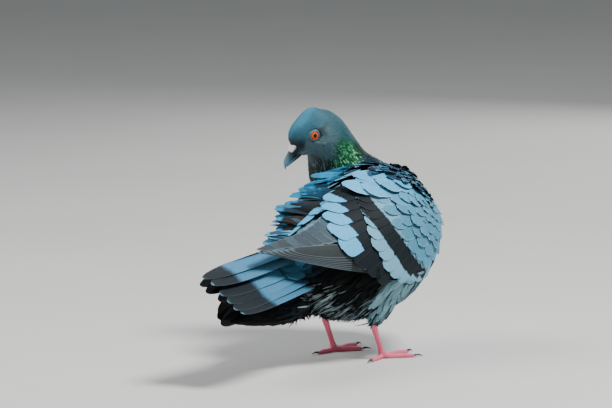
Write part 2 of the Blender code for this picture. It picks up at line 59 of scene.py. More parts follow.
HEAD_AT = (-2.8, 47.1, 174.9)  # midway between the eyes
HEAD_TURN, HEAD_BOW, HEAD_ROLL = 147, 40, -10  # degrees about the upright, the side and the forward axis
HEAD_REACH = 26  # how far the head's own rules hold about HEAD_AT
EYE_OUT = 10.1  # each eye's middle, out from the head's middle
EYE_RADIUS, EYE_HALF_DEPTH = 4.6, 3.0
IRIS_RADIUS, PUPIL_RADIUS = 3.5, 1.75

# Neck, from inside the breast to the back of the skull: (x, y, z, radius, then its feathers' length, half
# width and stand-off).
NECK = [
    (42, 3, 96, 40, 0, 0, 0), (41, 24, 119, 33, 17, 3.6, 0.9), (34.1, 40.2, 137, 27.7, 15, 2.9, 0.7),
    (28.2, 42.4, 150, 23.2, 12.5, 2.3, 0.6), (21.5, 42.6, 161.5, 20, 11, 2.0, 0.4),
    (12, 43, 171.5, 19.5, 9.5, 1.8, 0.25), (4, 44.5, 177, 18.3, 8, 1.6, 0.1),
]

# Bill slices in the head's frame: (forward, ridge, lower edge, half width).
UPPER_BILL = [
    (16.6, 1.2, -6.4, 3.7), (20.5, -0.9, -6.8, 3.1), (24.8, -2.4, -7.4, 2.5),
    (29.2, -4.3, -8.5, 1.9), (31.7, -6.9, -9.9, 1.2), (32.8, -9.8, -11.2, 0.45),
]
BILL_CLOSED = 0.75  # how far the lower bill's upper edge lies inside the upper bill's lower one
LOWER_BILL = [
    (x, ridge + BILL_CLOSED, low, half) for x, ridge, low, half in (
        (16.4, -6.9, -10.9, 3.4), (20.5, -7.2, -10.8, 2.9), (24.8, -7.9, -10.5, 2.2),
        (28, -8.8, -10.3, 1.5), (30.2, -9.5, -10.4, 0.6),
    )
]
CERE = [
    (11.0, 3.3, -1.0, 3.6), (13.6, 3.2, -1.7, 4.7), (17.0, 2.0, -2.3, 4.5),
    (19.9, 0.2, -2.8, 3.6), (21.8, -1.3, -3.2, 2.4),
]
# The fleshy corner of the mouth on each side, in the head's frame: (forward, out, up, half height).
GAPE = [
    (18.8, 2.4, -6.6, 0.3), (16, 3.3, -6.7, 0.6), (13.5, 5.0, -7.0, 0.8),
    (11, 6.9, -7.6, 0.7), (9.0, 7.9, -8.4, 0.2),
]
# The naked ring about an eye: its half lengths along the head and up it, then rows of how far out from the
# inner to the outer one, and how far above the line from eyeball to cheek.
LID_INNER, LID_OUTER = (3.35, 3.3), (5.0, 4.75)
LID_PROFILE = [
    (0.0, -0.5), (0.0, 0.3), (0.12, 0.55), (0.3, 0.55), (0.5, 0.5), (0.75, 0.45), (1.0, 0.3), (1.15, -0.8),
]

# Folded wings: slices across each one, (x, lower edge's y and z, upper edge's y and z, bulge).
WINGS = {
    RIGHT: [
        (74, 20, 96, 19, 108, 1), (66, 28, 87, 21, 119, 7.5), (58, 34.5, 79, 16, 131, 12.5),
        (43, 43, 70, 10, 144, 17), (22, 49, 62, 6, 149, 19), (0, 49, 64, 5, 144, 17),
        (-25, 45, 71, 6, 134, 12), (-50, 39, 81, 6, 123, 8), (-80, 31, 88, 8, 113, 4.5),
        (-110, 23, 94, 9, 110, 2.5), (-138, 16.5, 100, 10, 108, 1), (-152, 13.5, 103.6, 12, 105.6, 0.2),
    ],
    LEFT: [
        (74, 20, 94, 19, 106, 1), (66, 28, 85, 21, 117, 7.5), (58, 34.5, 76, 16, 129, 12.5),
        (43, 44, 66, 10, 142, 17), (22, 49, 60, 6, 148, 19), (0, 49, 58, 5, 143, 18),
        (-25, 47, 56, 8, 130, 15), (-50, 44, 53, 16, 113, 10), (-75, 41, 50, 26, 92, 4),
        (-96, 38, 50, 30, 76, 2), (-114, 35, 53, 31, 66, 1), (-125, 33, 56.5, 32, 59.5, 0.2),
    ],
}
WING_LENGTH = -152  # x of the right wing's tip, for which the quills' places are given

# Tail: where its upper edge and each half's lower edge leave the body, and its feathers' edges at their tips.
TAIL_TOP = (-82, 3, 96.5)
TAIL_FOOT = {RIGHT: (-78, -13, 67), LEFT: (-78, 16, 64)}
TAIL_TIPS = {
    RIGHT: [
        (-186, 10, 83.5), (-185, 3, 81), (-184, -4, 76.5), (-181, -11, 71.5),
        (-180, -17, 66.5), (-178, -23, 63.5), (-173, -27, 62),
    ],
    LEFT: [
        (-180, 10, 81.5), (-174, 11, 76), (-168, 11, 70), (-164, 9.5, 60),
        (-166, 8, 54.5), (-170, 6, 50.5), (-169, 5, 45.5),
    ],
}
TAIL_STEP, TAIL_BOW = 0.35, 2.5  # how far each feather lies above the next one out, and how far it arches

# Raised feathers on the left of the back: (root, tip, half width).
RUFFLE = [
    (22, 12, 146, 4, 38, 142, 9), (10, 12, 140, -14, 41, 135, 10), (-8, 12, 130, -26, 41, 129, 10.5),
    (-22, 12, 121, -39, 42, 123, 11), (-36, 12, 113, -51, 43, 117, 11), (-46, 12, 106, -59, 43, 110, 10.5),
]
TERTIALS = [(-46, 12, 102, -66, 41, 103, 10), (-52, 12, 99, -71, 39, 98, 10), (-57, 13, 96, -76, 37, 91, 9.5)]
RUFFLE_RISE = (-0.55, -0.15, 0.8)  # which way their upper sides face

ANKLE = (-0.5, 24.5, 2)
LEFT_LEG_AHEAD = 2
TOES = ("inner", "middle", "outer", "hind")

# Colours, as they look in soft light.
PALETTE = {
    # The lore's dark colour is painted shade before each eye.
    "crown": "#3F86A3", "brow": "#37697B", "face": "#58757D", "lore_shade": "#26363D", "nape": "#2C5560",
    "chin": "#2A383D", "throat": "#1D2929", "lid": "#526B74", "horn": "#222E34", "horn_tip": "#6A9AB0",
    "nostril": "#12181B", "cere": "#FFFFFF", "gape": "#66777D", "iris_inner": "#FF6E08", "iris": "#D82400",
    "eye_rim": "#1A0E0A", "pupil": "#0A0A0D",
    # The palest green is a painted glint of the neck's iridescence.
    "green_dark": "#12352B", "green": "#17603F", "green_glint": "#74E096", "plum": "#3C2F4E",
    "neck_base": "#12304A", "breast_rim": "#1F4A63", "breast": "#5B8294", "belly": "#5A7A87",
    # vent: near black, painted shade under the wings, about the vent and at the tail's root
    "flank": "#86AEBB", "vent": "#080A0B",
    # undertail: near black, painted shade over feathers that are grey
    "vent_pale": "#9CB4BA", "undertail": "#020303", "rump": "#6E90A5", "thigh": "#43565F",
    "down": "#3B474D",
    # mantle: the back's own blue, painted brighter as painted light; the ruffle's palest blue is painted
    # highlight
    "mantle": "#2286B4", "ruffle": "#164A63", "ruffle_highlight": "#4A98BE", "ruffle_dark": "#09141A",
    # covert_pale: the palest covert tone, for pale tips and as painted light over the top of each wing
    "bronze": "#463528", "covert": "#4E8EAA", "covert_pale": "#62BDEE", "band_tip": "#93CBE2",
    "covert_edge": "#B8E6F8", "bar": "#0E1A20", "flight": "#343A3C", "flight_pale": "#4A626F",
    "flight_edge": "#7C8F9A", "tail": "#4884A8", "tail_band": "#172229", "tail_tip": "#7D8F99",
    "leg": "#EC4A76", "leg_pale": "#F58CA4", "claw_dark": "#1B191A", "claw_worn": "#4A4445",
    "board": "#D8D8D4", "board_pale": "#E0E0DD", "daylight": "#C9CED2",
}


def linear(code):
    """A colour given as sRGB hex, as linear light."""
    parts = [int(code[i:i + 2], 16) / 255 for i in (1, 3, 5)]
    return [p / 12.92 if p <= 0.04045 else ((p + 0.055) / 1.055) ** 2.4 for p in parts]


COLOURS = {name: np.array(linear(code)) for name, code in PALETTE.items()}


def opaque(name):
    """A colour of the palette for a socket."""
    return (*COLOURS[name], 1)


def between(first, second, share):
    """Colours between two of the palette's, one for each share."""
    return COLOURS[first] + (COLOURS[second] - COLOURS[first]) * np.reshape(share, (-1, 1))


def box_middle(name):
    low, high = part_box(name)
    return (Vector(low) + Vector(high)) / 2


ORIGIN = (box_middle("eye_left") + box_middle("eye_right")) / 2 - Vector(HEAD_AT) * MM


def at(x, y, z):
    """A place given in millimetres in the bird's frame."""
    return Vector((x, y, z)) * MM + ORIGIN


def in_bird(places):
    """Places (n, 3) in millimetres in the bird's frame."""
    return (places - np.array(ORIGIN)) / MM


def head_frame():
    """The head's own frame: x forward, y to its left, z to its crown."""
    turns = ((HEAD_TURN, "Z"), (HEAD_BOW, "Y"), (HEAD_ROLL, "X"))
    turn, bow, roll = (Matrix.Rotation(math.radians(angle), 4, axis) for angle, axis in turns)
    return Matrix.Translation(at(*HEAD_AT)) @ turn @ bow @ roll


HEAD = head_frame()


def in_head(x, y, z):
    """A place given in millimetres in the head's frame."""
    return HEAD @ (Vector((x, y, z)) * MM)


def from_head(places):
    """Places (n, 3) in millimetres in the head's frame."""
    inverse = np.array(HEAD.inverted())
    return (places @ inverse[:3, :3].T + inverse[:3, 3]) / MM


def eased(rows, share):
    """A point on the smooth curve through rows of numbers, at a share from 0 to 1 of the way along."""
    place = share * (len(rows) - 1)
    i = min(int(place), len(rows) - 2)
    t = place - i
    before, start = rows[max(i - 1, 0)], rows[i]
    end, after = rows[i + 1], rows[min(i + 2, len(rows) - 1)]
    return [
        0.5 * (2 * b + (c - a) * t + (2 * a - 5 * b + 4 * c - d) * t * t + (3 * b - a - 3 * c + d) * t**3)
        for a, b, c, d in zip(before, start, end, after)
    ]


def unit(vectors):
    return vectors / np.maximum(np.linalg.norm(vectors, axis=-1, keepdims=True), 1e-9)


# Materials

ALL = slice(None)  # every output of a node
RGBA = {"data_type": "RGBA", "out": 2}  # a Mix node's settings and output for colours, at inputs 6 and 7
SMOOTH = {"interpolation_type": "SMOOTHSTEP"}


def add(tree, kind, *values, out=0, **settings):
    """Adds a node with its settings and links, given as values for its inputs in order or as one dict."""
    made = tree.nodes.new("ShaderNode" + kind)
    for key, value in settings.items():
        setattr(made, key, value)
    given = values[0] if values and isinstance(values[0], dict) else dict(enumerate(values))
    for key, value in given.items():
        if isinstance(value, bpy.types.NodeSocket):
            tree.links.new(value, made.inputs[key])
        else:
            made.inputs[key].default_value = value
    return made.outputs[out]


def new_material(name, **sockets):
    """A material with one Principled shader whose plain sockets are set."""
    material = bpy.data.materials.new(name)
    material.use_nodes = True
    shader = material.node_tree.nodes["Principled BSDF"]
    for key, value in sockets.items():
        shader.inputs[key.replace("_", " ")].default_value = value
    return material, material.node_tree, shader


def surfaced(tree, shader, colour, shade, height, strength, depth):
    """Gives a shader a colour darkened by a shade, and a relief of some depth in millimetres."""
    grey = add(tree, "CombineXYZ", shade, shade, shade)
    shaded = add(tree, "Mix", {0: 1.0, 6: colour, 7: grey}, **RGBA, blend_type="MULTIPLY")
    tree.links.new(shaded, shader.inputs["Base Color"])
    bump = add(tree, "Bump", {"Strength": strength, "Distance": depth * MM, "Height": height})
    tree.links.new(bump, shader.inputs["Normal"])


def feather_finish(name, roughness, streak, relief, edge="covert_edge", metallic=0.0, shaft=1.2, soft=0.6,
                   gloss=0.22, root=0.55):
    """A feather's vane: keratin barbs that slant from a shaft, so dull across and a little glossy along.

    Its attributes: vane is (across, along, share of the length) in millimetres, rim runs from 0 at the shaft
    to 1 at the margin, bar is (start, end, strength of the pale edge), and tint, mark and back colour the
    vane, a bar across it and its underside. Barb streaks are drawn 0.7 mm apart, coarser than real ones, so
    that they show. soft is how gradually a bar starts, root how dark the vane is towards its root, where
    others cover it: partly the down's own grey, partly painted shade between the feathers.
    """
    material, tree, shader = new_material(name, Roughness=roughness, Metallic=metallic, Sheen_Weight=0.03,
                                          Sheen_Roughness=0.45, Specular_IOR_Level=gloss)
    kinds = {"Vector": ("vane", "bar"), "Fac": ("rim", "chance", "under"), "Color": ("tint", "mark", "back")}
    vane, bar, rim, chance, under, tint, mark, back = (
        add(tree, "Attribute", out=kind, attribute_name=key) for kind, keys in kinds.items() for key in keys
    )
    across, along, share = add(tree, "SeparateXYZ", vane, out=ALL)
    start, end, pale = add(tree, "SeparateXYZ", bar, out=ALL)
    spread = add(tree, "Math", across, operation="ABSOLUTE")
    barb = add(tree, "Math", spread, -0.9, along, operation="MULTIPLY_ADD")
    seed = add(tree, "Math", chance, 61.0, operation="MULTIPLY")
    noises = []
    for per_mm, stretch, detail, rough in ((1.4, 0.16, 2.5, 0.65), (0.35, 0.1, 1.0, 0.5)):
        x = add(tree, "Math", barb, per_mm, operation="MULTIPLY")
        y = add(tree, "Math", spread, stretch, operation="MULTIPLY")
        place = add(tree, "CombineXYZ", x, y, seed)
        sockets = {"Vector": place, "Scale": 1.0, "Detail": detail, "Roughness": rough}
        noises.append(add(tree, "TexNoise", sockets))
    fine, cloud = noises

    ragged = along
    for noise, reach in ((fine, 2.4), (cloud, 3.0)):
        noise = add(tree, "Math", noise, 0.5, operation="SUBTRACT")
        ragged = add(tree, "Math", noise, reach, ragged, operation="MULTIPLY_ADD")
    past_start = add(tree, "Math", ragged, start, operation="SUBTRACT")
    past_end = add(tree, "Math", ragged, end, operation="SUBTRACT")
    entered = add(tree, "MapRange", past_start, -soft, soft, **SMOOTH)
    still = add(tree, "MapRange", past_end, -0.6, 0.6, 1.0, 0.0, **SMOOTH)
    barred = add(tree, "Math", entered, still, operation="MULTIPLY")
    margin = add(tree, "MapRange", rim, 0.84, 0.97, **SMOOTH)
    edged = add(tree, "Math", margin, pale, operation="MULTIPLY", use_clamp=True)
    colour = tint
    for strength, over in ((barred, mark), (edged, opaque(edge)), (under, back)):
        colour = add(tree, "Mix", {0: strength, 6: colour, 7: over}, **RGBA)

    shade = add(tree, "Math", fine, streak * 2, 1 - streak, operation="MULTIPLY_ADD")
    clouded = add(tree, "Math", cloud, streak * 1.6, 1 - streak * 0.8, operation="MULTIPLY_ADD")
    # Darker towards the root: partly the down's own grey, partly painted shade between the feathers.
    root_shade = add(tree, "MapRange", share, 0.0, 1.0 - root, root, 1.0, **SMOOTH)
    for factor in (clouded, root_shade):
        shade = add(tree, "Math", shade, factor, operation="MULTIPLY")
    rachis = add(tree, "MapRange", spread, 0.0, 0.35, 1.0, 0.0, **SMOOTH)
    height = add(tree, "Math", cloud, 0.8, operation="MULTIPLY")
    height = add(tree, "Math", fine, 0.8, height, operation="MULTIPLY_ADD")
    height = add(tree, "Math", rachis, shaft, height, operation="MULTIPLY_ADD")
    surfaced(tree, shader, colour, shade, height, strength=relief, depth=0.25)
    return material


def skin_finish():
    """Bare skin and close down: matt, in the markings of the coat above it, pimpled where quills leave it."""
    material, tree, shader = new_material("skin_and_down", Roughness=0.8)
    tint = add(tree, "Attribute", out="Color", attribute_name="tint")
    place = add(tree, "TexCoord", out="Object")
    quills = add(tree, "TexVoronoi", {"Vector": place, "Scale": 1 / (1.6 * MM)}, out="Distance")
    cloud = add(tree, "TexNoise", {"Vector": place, "Scale": 1 / (7 * MM), "Detail": 3.0})
    shade = add(tree, "Math", cloud, 0.5, 0.6, operation="MULTIPLY_ADD")
    surfaced(tree, shader, tint, shade, quills, strength=0.5, depth=0.3)
    return material


# Pieces

# Sizes of each feather's own patch in the map, whose whole is 1.
SMALL_PATCH, BAR_PATCH, QUILL_PATCH, RAISED_PATCH = 0.003, 1 / 17, 1 / 13, 1 / 21
TAIL_PATCH, TAIL_COVERT_PATCH = 1 / 7, 0.03


def read(rows, field, width, kind=np.float32):
    """A field of a mesh's rows as an array (n, width)."""
    values = np.empty(len(rows) * width, kind)
    rows.foreach_get(field, values)
    return values.reshape(-1, width)


def with_alpha(colours):
    return np.insert(colours, 3, 1, axis=1)


def store(mesh, name, values, domain="POINT"):
    """Stores numbers, vectors or colours on a mesh's points or faces. Colours have a fourth column."""
    width = values.shape[1] if values.ndim > 1 else 1
    kind, field = {1: ("FLOAT", "value"), 3: ("FLOAT_VECTOR", "vector"), 4: ("FLOAT_COLOR", "color")}[width]
    mesh.attributes.new(name, kind, domain).data.foreach_set(field, values.astype(np.float32).ravel())


def shown(mesh, finish):
    """A smooth object in a finish, named as its mesh."""
    mesh.shade_smooth()
    mesh.materials.clear()
    mesh.materials.append(finish)
    piece = bpy.data.objects.new(mesh.name, mesh)
    bpy.context.scene.collection.objects.link(piece)
    return piece


def settled(piece, slot, *nodes):
    """Tells the frame what a finished piece rides on, and hides the nodes that it stands for.
    slot is not used.
    """
    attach(piece, "root")
    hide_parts(*nodes)
    return piece


def welded(name, nodes, voxel, rounds):
    """One closed, even mesh round some nodes, smoothed by some rounds."""
    bm = bmesh.new()
    for node in nodes:
        bm.from_mesh(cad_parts[node].data)
    bmesh.ops.remove_doubles(bm, verts=bm.verts, dist=0.01 * MM)
    mesh = bpy.data.meshes.new(name + "_rough")
    bm.to_mesh(mesh)
    bm.free()
    rough = bpy.data.objects.new(name + "_rough", mesh)
    bpy.context.scene.collection.objects.link(rough)
    weld = rough.modifiers.new("weld", "REMESH")
    weld.mode = "VOXEL"
    weld.voxel_size = voxel * MM
    smooth = rough.modifiers.new("smooth", "SMOOTH")
    smooth.factor = 0.5
    smooth.iterations = rounds
    made = bpy.data.meshes.new_from_object(rough.evaluated_get(bpy.context.evaluated_depsgraph_get()))
    bpy.data.objects.remove(rough, do_unlink=True)
    made.name = name
    return made


# Feathers: one leaf shape, laid many times and joined


class Leaf:
    """A closed leaf of quads: u is -1 to 1 across it, t 0 at the root and 1 at the tip, under 1 below. blunt
    is the t from which its tip rounds off, waist its width at the root as a share of its greatest."""

    def __init__(self, across, along, blunt, waist):
        bm = bmesh.new()
        below = bm.verts.layers.int.new("below")
        layer = bm.faces.layers.int.new("under")
        bmesh.ops.create_grid(bm, x_segments=across, y_segments=along, size=1)
        bmesh.ops.recalc_face_normals(bm, faces=bm.faces)
        if bm.faces[:][0].normal.z < 0:
            bmesh.ops.reverse_faces(bm, faces=bm.faces)
        twin = bmesh.ops.duplicate(bm, geom=bm.verts[:] + bm.edges[:] + bm.faces[:])["geom"]
        faces = [g for g in twin if isinstance(g, bmesh.types.BMFace)]
        bmesh.ops.reverse_faces(bm, faces=faces)
        for face in faces:
            face[layer] = 1
            for vert in face.verts:
                vert[below] = 0 if vert.is_boundary else 1
        bmesh.ops.remove_doubles(bm, verts=[v for v in bm.verts if v.is_boundary], dist=1e-4)
        bm.verts.index_update()
        x, y = np.array([v.co[:2] for v in bm.verts]).T
        self.u = x
        self.t = 1 - (1 - y / 2 - 0.5) ** 1.4  # rows lie closer towards the tip
        self.under = np.array([float(v[below]) for v in bm.verts])
        self.margin = (np.maximum(np.abs(x), y) > 0.999).astype(float)
        self.faces = np.array([[v.index for v in f.verts] for f in bm.faces])
        self.face_under = np.array([f[layer] for f in bm.faces])
        bm.free()
        tip = np.maximum(self.t - blunt, 0) / (1 - blunt)
        swell = waist + (1 - waist) * np.sin(np.minimum(self.t / 0.55, 1) * np.pi / 2)
        self.width = swell * np.sqrt(np.maximum(1 - tip**2, 0.004))
        self.rim = np.maximum(np.abs(self.u), tip**1.5)


class Plumage:
    """Gathers feathers and joins them into one mesh, with the attributes that their finish reads."""

    def __init__(self, name):
        self.name, self.count, self.batches = name, 0, []

    def lay(self, leaf, places, half, length, tint, chance, patch, size, mark=None, back=None, bar=(0, 0, 0)):
        """Adds feathers: places (n, verts, 3), half width and length in mm, colours for each or one for all,
        and in the map each one's patch by its middle and their size."""
        n, v = places.shape[:2]

        def spread(values):
            return np.broadcast_to(np.reshape(values, (-1, 1, 3)), (n, v, 3)).reshape(-1, 3)

        along = leaf.t * np.ones((n, 1))
        across = leaf.u * leaf.width * np.ones((n, 1))
        vane = [across * np.reshape(half, (-1, 1)), along * np.reshape(length, (-1, 1)), along]
        uv = np.reshape(patch, (-1, 1, 2)) + np.stack([leaf.u * 0.46, leaf.t - 0.5], axis=1) * size
        beside = leaf.face_under[:, None, None] * np.array([size, 0])
        self.batches.append({
            "co": places.reshape(-1, 3),
            "faces": (leaf.faces + (self.count + np.arange(n) * v)[:, None, None]).reshape(-1, 4),
            "uv": (uv[:, leaf.faces] + beside).reshape(-1, 2),
            "under": np.tile(leaf.face_under, n),
            "vane": np.stack(vane, axis=2).reshape(-1, 3),
            "rim": np.tile(leaf.rim, n),
            "chance": np.repeat(chance, v),
            "bar": spread(bar),
            "tint": with_alpha(spread(tint)),
            "mark": with_alpha(spread(tint if mark is None else mark)),
            "back": with_alpha(spread(tint * 0.8 if back is None else back)),
        })
        self.count += n * v

    def join(self, finish, slot, *nodes):
        """Joins the feathers as one piece that rides on the bird and stands for the nodes."""
        parts = {key: np.concatenate([batch[key] for batch in self.batches]) for key in self.batches[0]}
        faces = parts["faces"]
        mesh = bpy.data.meshes.new(self.name)
        mesh.vertices.add(self.count)
        mesh.vertices.foreach_set("co", parts["co"].astype(np.float32).ravel())
        mesh.loops.add(faces.size)
        mesh.loops.foreach_set("vertex_index", faces.astype(np.int32).ravel())
        mesh.polygons.add(len(faces))
        mesh.polygons.foreach_set("loop_start", np.arange(0, faces.size, 4, dtype=np.int32))
        mesh.update(calc_edges=True)
        for key in ("tint", "mark", "back", "vane", "bar", "rim", "chance"):
            store(mesh, key, parts[key])
        store(mesh, "under", parts["under"], "FACE")
        mesh.uv_layers.new(name="OFBake").data.foreach_set("uv", parts["uv"].astype(np.float32).ravel())
        piece = shown(mesh, finish)
        mesh.set_sharp_from_angle(angle=math.radians(75))
        settled(piece, slot, *nodes)


def cells(index, across):
    """Middles of numbered patches in the map's left half, with so many across it."""
    return (np.stack([index % across, index // across], axis=1) + 0.5) / across * np.array([0.5, 1])


def jitter(rng, tints, amount):
    """Each feather a little lighter or darker than its neighbours."""
    return tints * (1 + amount * rng.uniform(-1, 1, (len(tints), 1)))


def notched(rng, leaf, count, ragged):
    """Each feather's breadth at each of its points, frayed at the margin."""
    return leaf.width * (1 - leaf.margin * ragged * rng.random((count, len(leaf.u))))


def bent_leaves(leaf, rng, root, middle, tip, up, half, camber, thick, ragged):
    """Leaf points along the curve through root, middle and tip (n, 3), facing up (n, 3); half width in mm."""
    root, middle, tip, up = (values[:, None] for values in (root, middle, tip, up))
    t = leaf.t[:, None]
    knee = 2 * middle - (root + tip) / 2
    spine = (1 - t) ** 2 * root + 2 * t * (1 - t) * knee + t**2 * tip
    along = unit(2 * (1 - t) * (knee - root) + 2 * t * (tip - knee))
    out = unit(up - along * np.sum(up * along, axis=2, keepdims=True))
    half = np.reshape(half, (-1, 1)) * MM
    reach = leaf.u * notched(rng, leaf, len(root), ragged) * half
    rise = -camber * half * leaf.u**2 * leaf.width - leaf.under * thick * MM
    return spine + np.cross(along, out) * reach[..., None] + out * rise[..., None]


# Fields: what the coat is like at any place, blended between the places named in a table


def blended(places, anchors, values, power=4, reach=2 * MM):
    """Values at places (n, 3) from anchors (k, 3) with values (k, m), nearer ones counting for more."""
    gap = np.linalg.norm(places[:, None] - anchors[None], axis=2)
    weight = 1 / (gap + reach) ** power
    weight /= weight.sum(axis=1, keepdims=True)
    return weight @ values


def both_sides(rows):
    """Rows of (x, y, z, ...), with each one that lies off the middle repeated on the other side."""
    return rows + [(x, -y, *rest) for x, y, *rest in rows if abs(y) > 1]


# Head coat, in the head's frame: (x, y, z, how far its lie dips below straight back, length, half width).
HEAD_COAT = both_sides([
    (16, 0, 4, -0.9, 2.8, 0.75), (12, 7, 4, -0.4, 3.0, 0.8), (15, 5, -8, 0.5, 2.8, 0.7),
    (8, 0, 12, -0.3, 4.0, 0.95), (0, 6, 13, 0.0, 4.6, 1.0), (-9, 0, 15, 0.3, 5.4, 1.15),
    (-18, 0, 6, 1.2, 6.5, 1.35), (6, 11, -4, 0.3, 3.4, 0.8), (0, 12, -8, 0.6, 4.2, 0.95),
    (-8, 13, 0, 0.4, 5.0, 1.1), (-14, 10, -8, 0.9, 6.4, 1.3), (6, 0, -16, 0.4, 4.2, 1.0),
    (-4, 0, -17, 0.9, 6.0, 1.2),
])

# Body coat: (x, y, z, lie x, lie out to the side, lie z, length, half width, how far the tip stands off).
BODY_COAT = both_sides([
    (84, 0, 95, -0.1, 0, -1, 14, 4.6, 0.5), (80, 0, 112, 0.2, 0, -1, 12, 4.2, 0.6),
    (72, 22, 112, -0.1, 0, -1, 12, 4.2, 0.6), (66, 0, 134, 0.6, 0, -0.8, 10, 3.6, 0.8),
    (74, 22, 80, -0.5, 0.1, -0.85, 16, 5.0, 0.5), (66, 0, 58, -0.85, 0, -0.5, 18, 5.5, 0.5),
    (52, 32, 60, -0.7, 0.15, -0.7, 19, 5.8, 0.6), (40, 0, 38, -1, 0, -0.2, 19, 5.8, 0.6),
    (30, 30, 42, -0.95, 0, -0.3, 21, 6.0, 0.8), (5, 40, 58, -0.85, -0.05, -0.6, 22, 5.6, 1.5),
    (-20, 40, 62, -0.9, -0.1, -0.5, 22, 5.2, 2.5), (0, 0, 30, -1, 0, 0, 18, 5.2, 0.8),
    (-12, 28, 44, -0.8, 0, -0.6, 20, 4.2, 2.5), (-35, 0, 36, -1, 0, 0.1, 20, 4.6, 1.2),
    (-38, 30, 58, -0.9, -0.2, -0.5, 24, 4.4, 3.0), (-60, 18, 56, -1, -0.1, -0.2, 24, 4.6, 2.0),
    (-60, 25, 82, -1, -0.1, -0.3, 24, 5.0, 1.5), (-84, 10, 74, -1, 0, -0.2, 26, 5.0, 1.0),
    (0, 0, 138, -1, 0, -0.1, 20, 6.5, 0.5), (-35, 0, 122, -1, 0, -0.35, 22, 7.0, 0.6),
    (-60, 0, 110, -1, 0, -0.45, 24, 7.0, 0.8), (-84, 0, 99, -1, 0, -0.25, 30, 7.5, 0.6),
    (45, 0, 141, -0.8, 0, 0.1, 11, 3.8, 2.0), (-3, 26, 36, -0.45, 0, -0.9, 12, 3.4, 0.8),
    (-10, 25, 30, -0.3, 0, -1, 7, 2.2, 0.3), (-100, 7, 42, -1, 0, 0.12, 30, 5.0, 0.5),
    (-145, 7, 46, -1, 0, 0.1, 26, 3.6, 0.2),
])

# Markings and painted shade, places by colour: on both sides of the head, in its frame; on both sides of the
# body; and on the undertail and the neck, which the turned head leaves different on each side.
HEAD_TINTS = {
    "crown": [(0, 4, 14.5), (12, 0, 11), (-9, 0, 15)],
    "brow": [(10, 8, 8), (0, 11, 8), (-12, 8, 10)],
    # the lore's dark colour is painted shade before the eye
    "lore_shade": [(16.5, 3, 3), (13, 7, 0)],
    "face": [(8, 10, -5), (0, 12, -7), (-6, 13, -3), (12, 6, -10)],
    "nape": [(-15, 9, -4), (-18, 0, 6)],
    "chin": [(8, 0, -15)],
    "throat": [(-4, 6, -16)],
}
BODY_TINTS = {
    "breast_rim": [(78, 0, 118), (72, 26, 112)],
    "breast": [(84, 0, 92), (72, 26, 84)],
    "belly": [(60, 0, 52), (40, 34, 50), (10, 0, 31)],
    "flank": [(15, 40, 58), (-9, 38, 49), (11, 38, 53), (-16, 34, 37)],
    # the vent's near black here is painted shade under the wings and about the vent
    "vent": [
        (-26, 38, 60), (-46, 27, 60), (-28, 0, 34), (-34, 26, 50), (-60, 18, 54), (-62, 24, 80),
        (-44, 32, 72),
    ],
    # the undertail's near black is painted shade
    "undertail": [(-82, 0, 72)],
    "mantle": [(0, 0, 138)],
    "rump": [(-35, 0, 122), (-60, 0, 110)],
    "tail": [(-90, 0, 98)],
    "thigh": [(-3, 26, 36), (-12, 26, 28)],
}
NECK_TINTS = {
    "nape": [(16.4, 24.9, 176.2), (30, 38, 178), (36, 44, 164)],
    "face": [(0, 32, 161), (2, 29, 165), (4, 31, 157)],
    "green": [(10, 24.5, 163.5), (14, 22, 160), (20, 22, 153), (36, 66, 140), (56, 50, 140)],
    "green_dark": [(31, 22, 157), (12, 24, 150), (16, 62, 150), (48, 30, 150)],
    "neck_base": [(34, 20, 150), (50, -8, 140), (40, 2, 146), (36, -10, 147)],
    "throat": [(6, 41, 148), (10, 53, 141), (7, 32, 152)],
    "plum": [(20, 60, 125), (44, 60, 118), (68, 40, 120), (66, 10, 134)],
    # the undertail's near black is painted shade
    "undertail": [(-110, 7, 50), (-150, 7, 48)],
}


def marked(table, place, repeated=both_sides):
    """(place, colour) rows of a table of markings."""
    return [(place(*spot), COLOURS[name]) for name, spots in table.items() for spot in repeated(spots)]


MARKS = marked(HEAD_TINTS, in_head) + marked(BODY_TINTS, at) + marked(NECK_TINTS, at, list)
TINT_PLACES, TINT_VALUES = (np.array(column) for column in zip(*MARKS))


def markings(places):
    """The coat's colour at places (n, 3), with painted shade in a line behind each eye and in a spot before
    it.
    """
    x, y, z = from_head(places).T
    out = np.abs(y)
    # Painted shade in a line behind each eye and in a spot before it, by the bill.
    shade_behind_eye = np.exp(-((z - 0.8) / 1.3) ** 2) * np.clip((-x - 4) / 2, 0, 1) * np.clip((15 + x) / 5, 0, 1)
    shade_behind_eye *= np.clip((out - 8) / 2, 0, 1)
    lore_shade = np.exp(-(((x - 12.5) / 3.2) ** 2 + ((z + 0.5) / 2.2) ** 2)) * np.clip((out - 3) / 2, 0, 1)
    tint = blended(places, TINT_PLACES, TINT_VALUES, power=5)
    return tint * (1 - 0.38 * shade_behind_eye - 0.3 * lore_shade)[:, None]


def coat_rows():
    """(place, lie, (length, half width, stand-off)) of the coat over head, neck and body."""
    turn = HEAD.to_3x3()
    for x, y, z, dip, length, half in HEAD_COAT:
        yield in_head(x, y, z), (turn @ Vector((-1, 0, -dip))).normalized(), (length, half, 0.05)
    for low, high in zip(NECK[:-1], NECK[1:]):
        along = (Vector(low[:3]) - Vector(high[:3])).normalized()
        first = along.orthogonal().normalized()
        second = along.cross(first)
        for k in range(6):
            angle = k * math.pi / 3
            spot = Vector(high[:3]) + (first * math.cos(angle) + second * math.sin(angle)) * high[3]
            yield at(*spot), along, high[4:]
    for x, y, z, back, out, down, *sizes in BODY_COAT:
        yield at(x, y, z), Vector((back, out * (1 if y > 0 else -1), down)).normalized(), sizes


COAT_PLACES, COAT_LIES, COAT_SIZES = (np.array(column) for column in zip(*coat_rows()))


# Skin

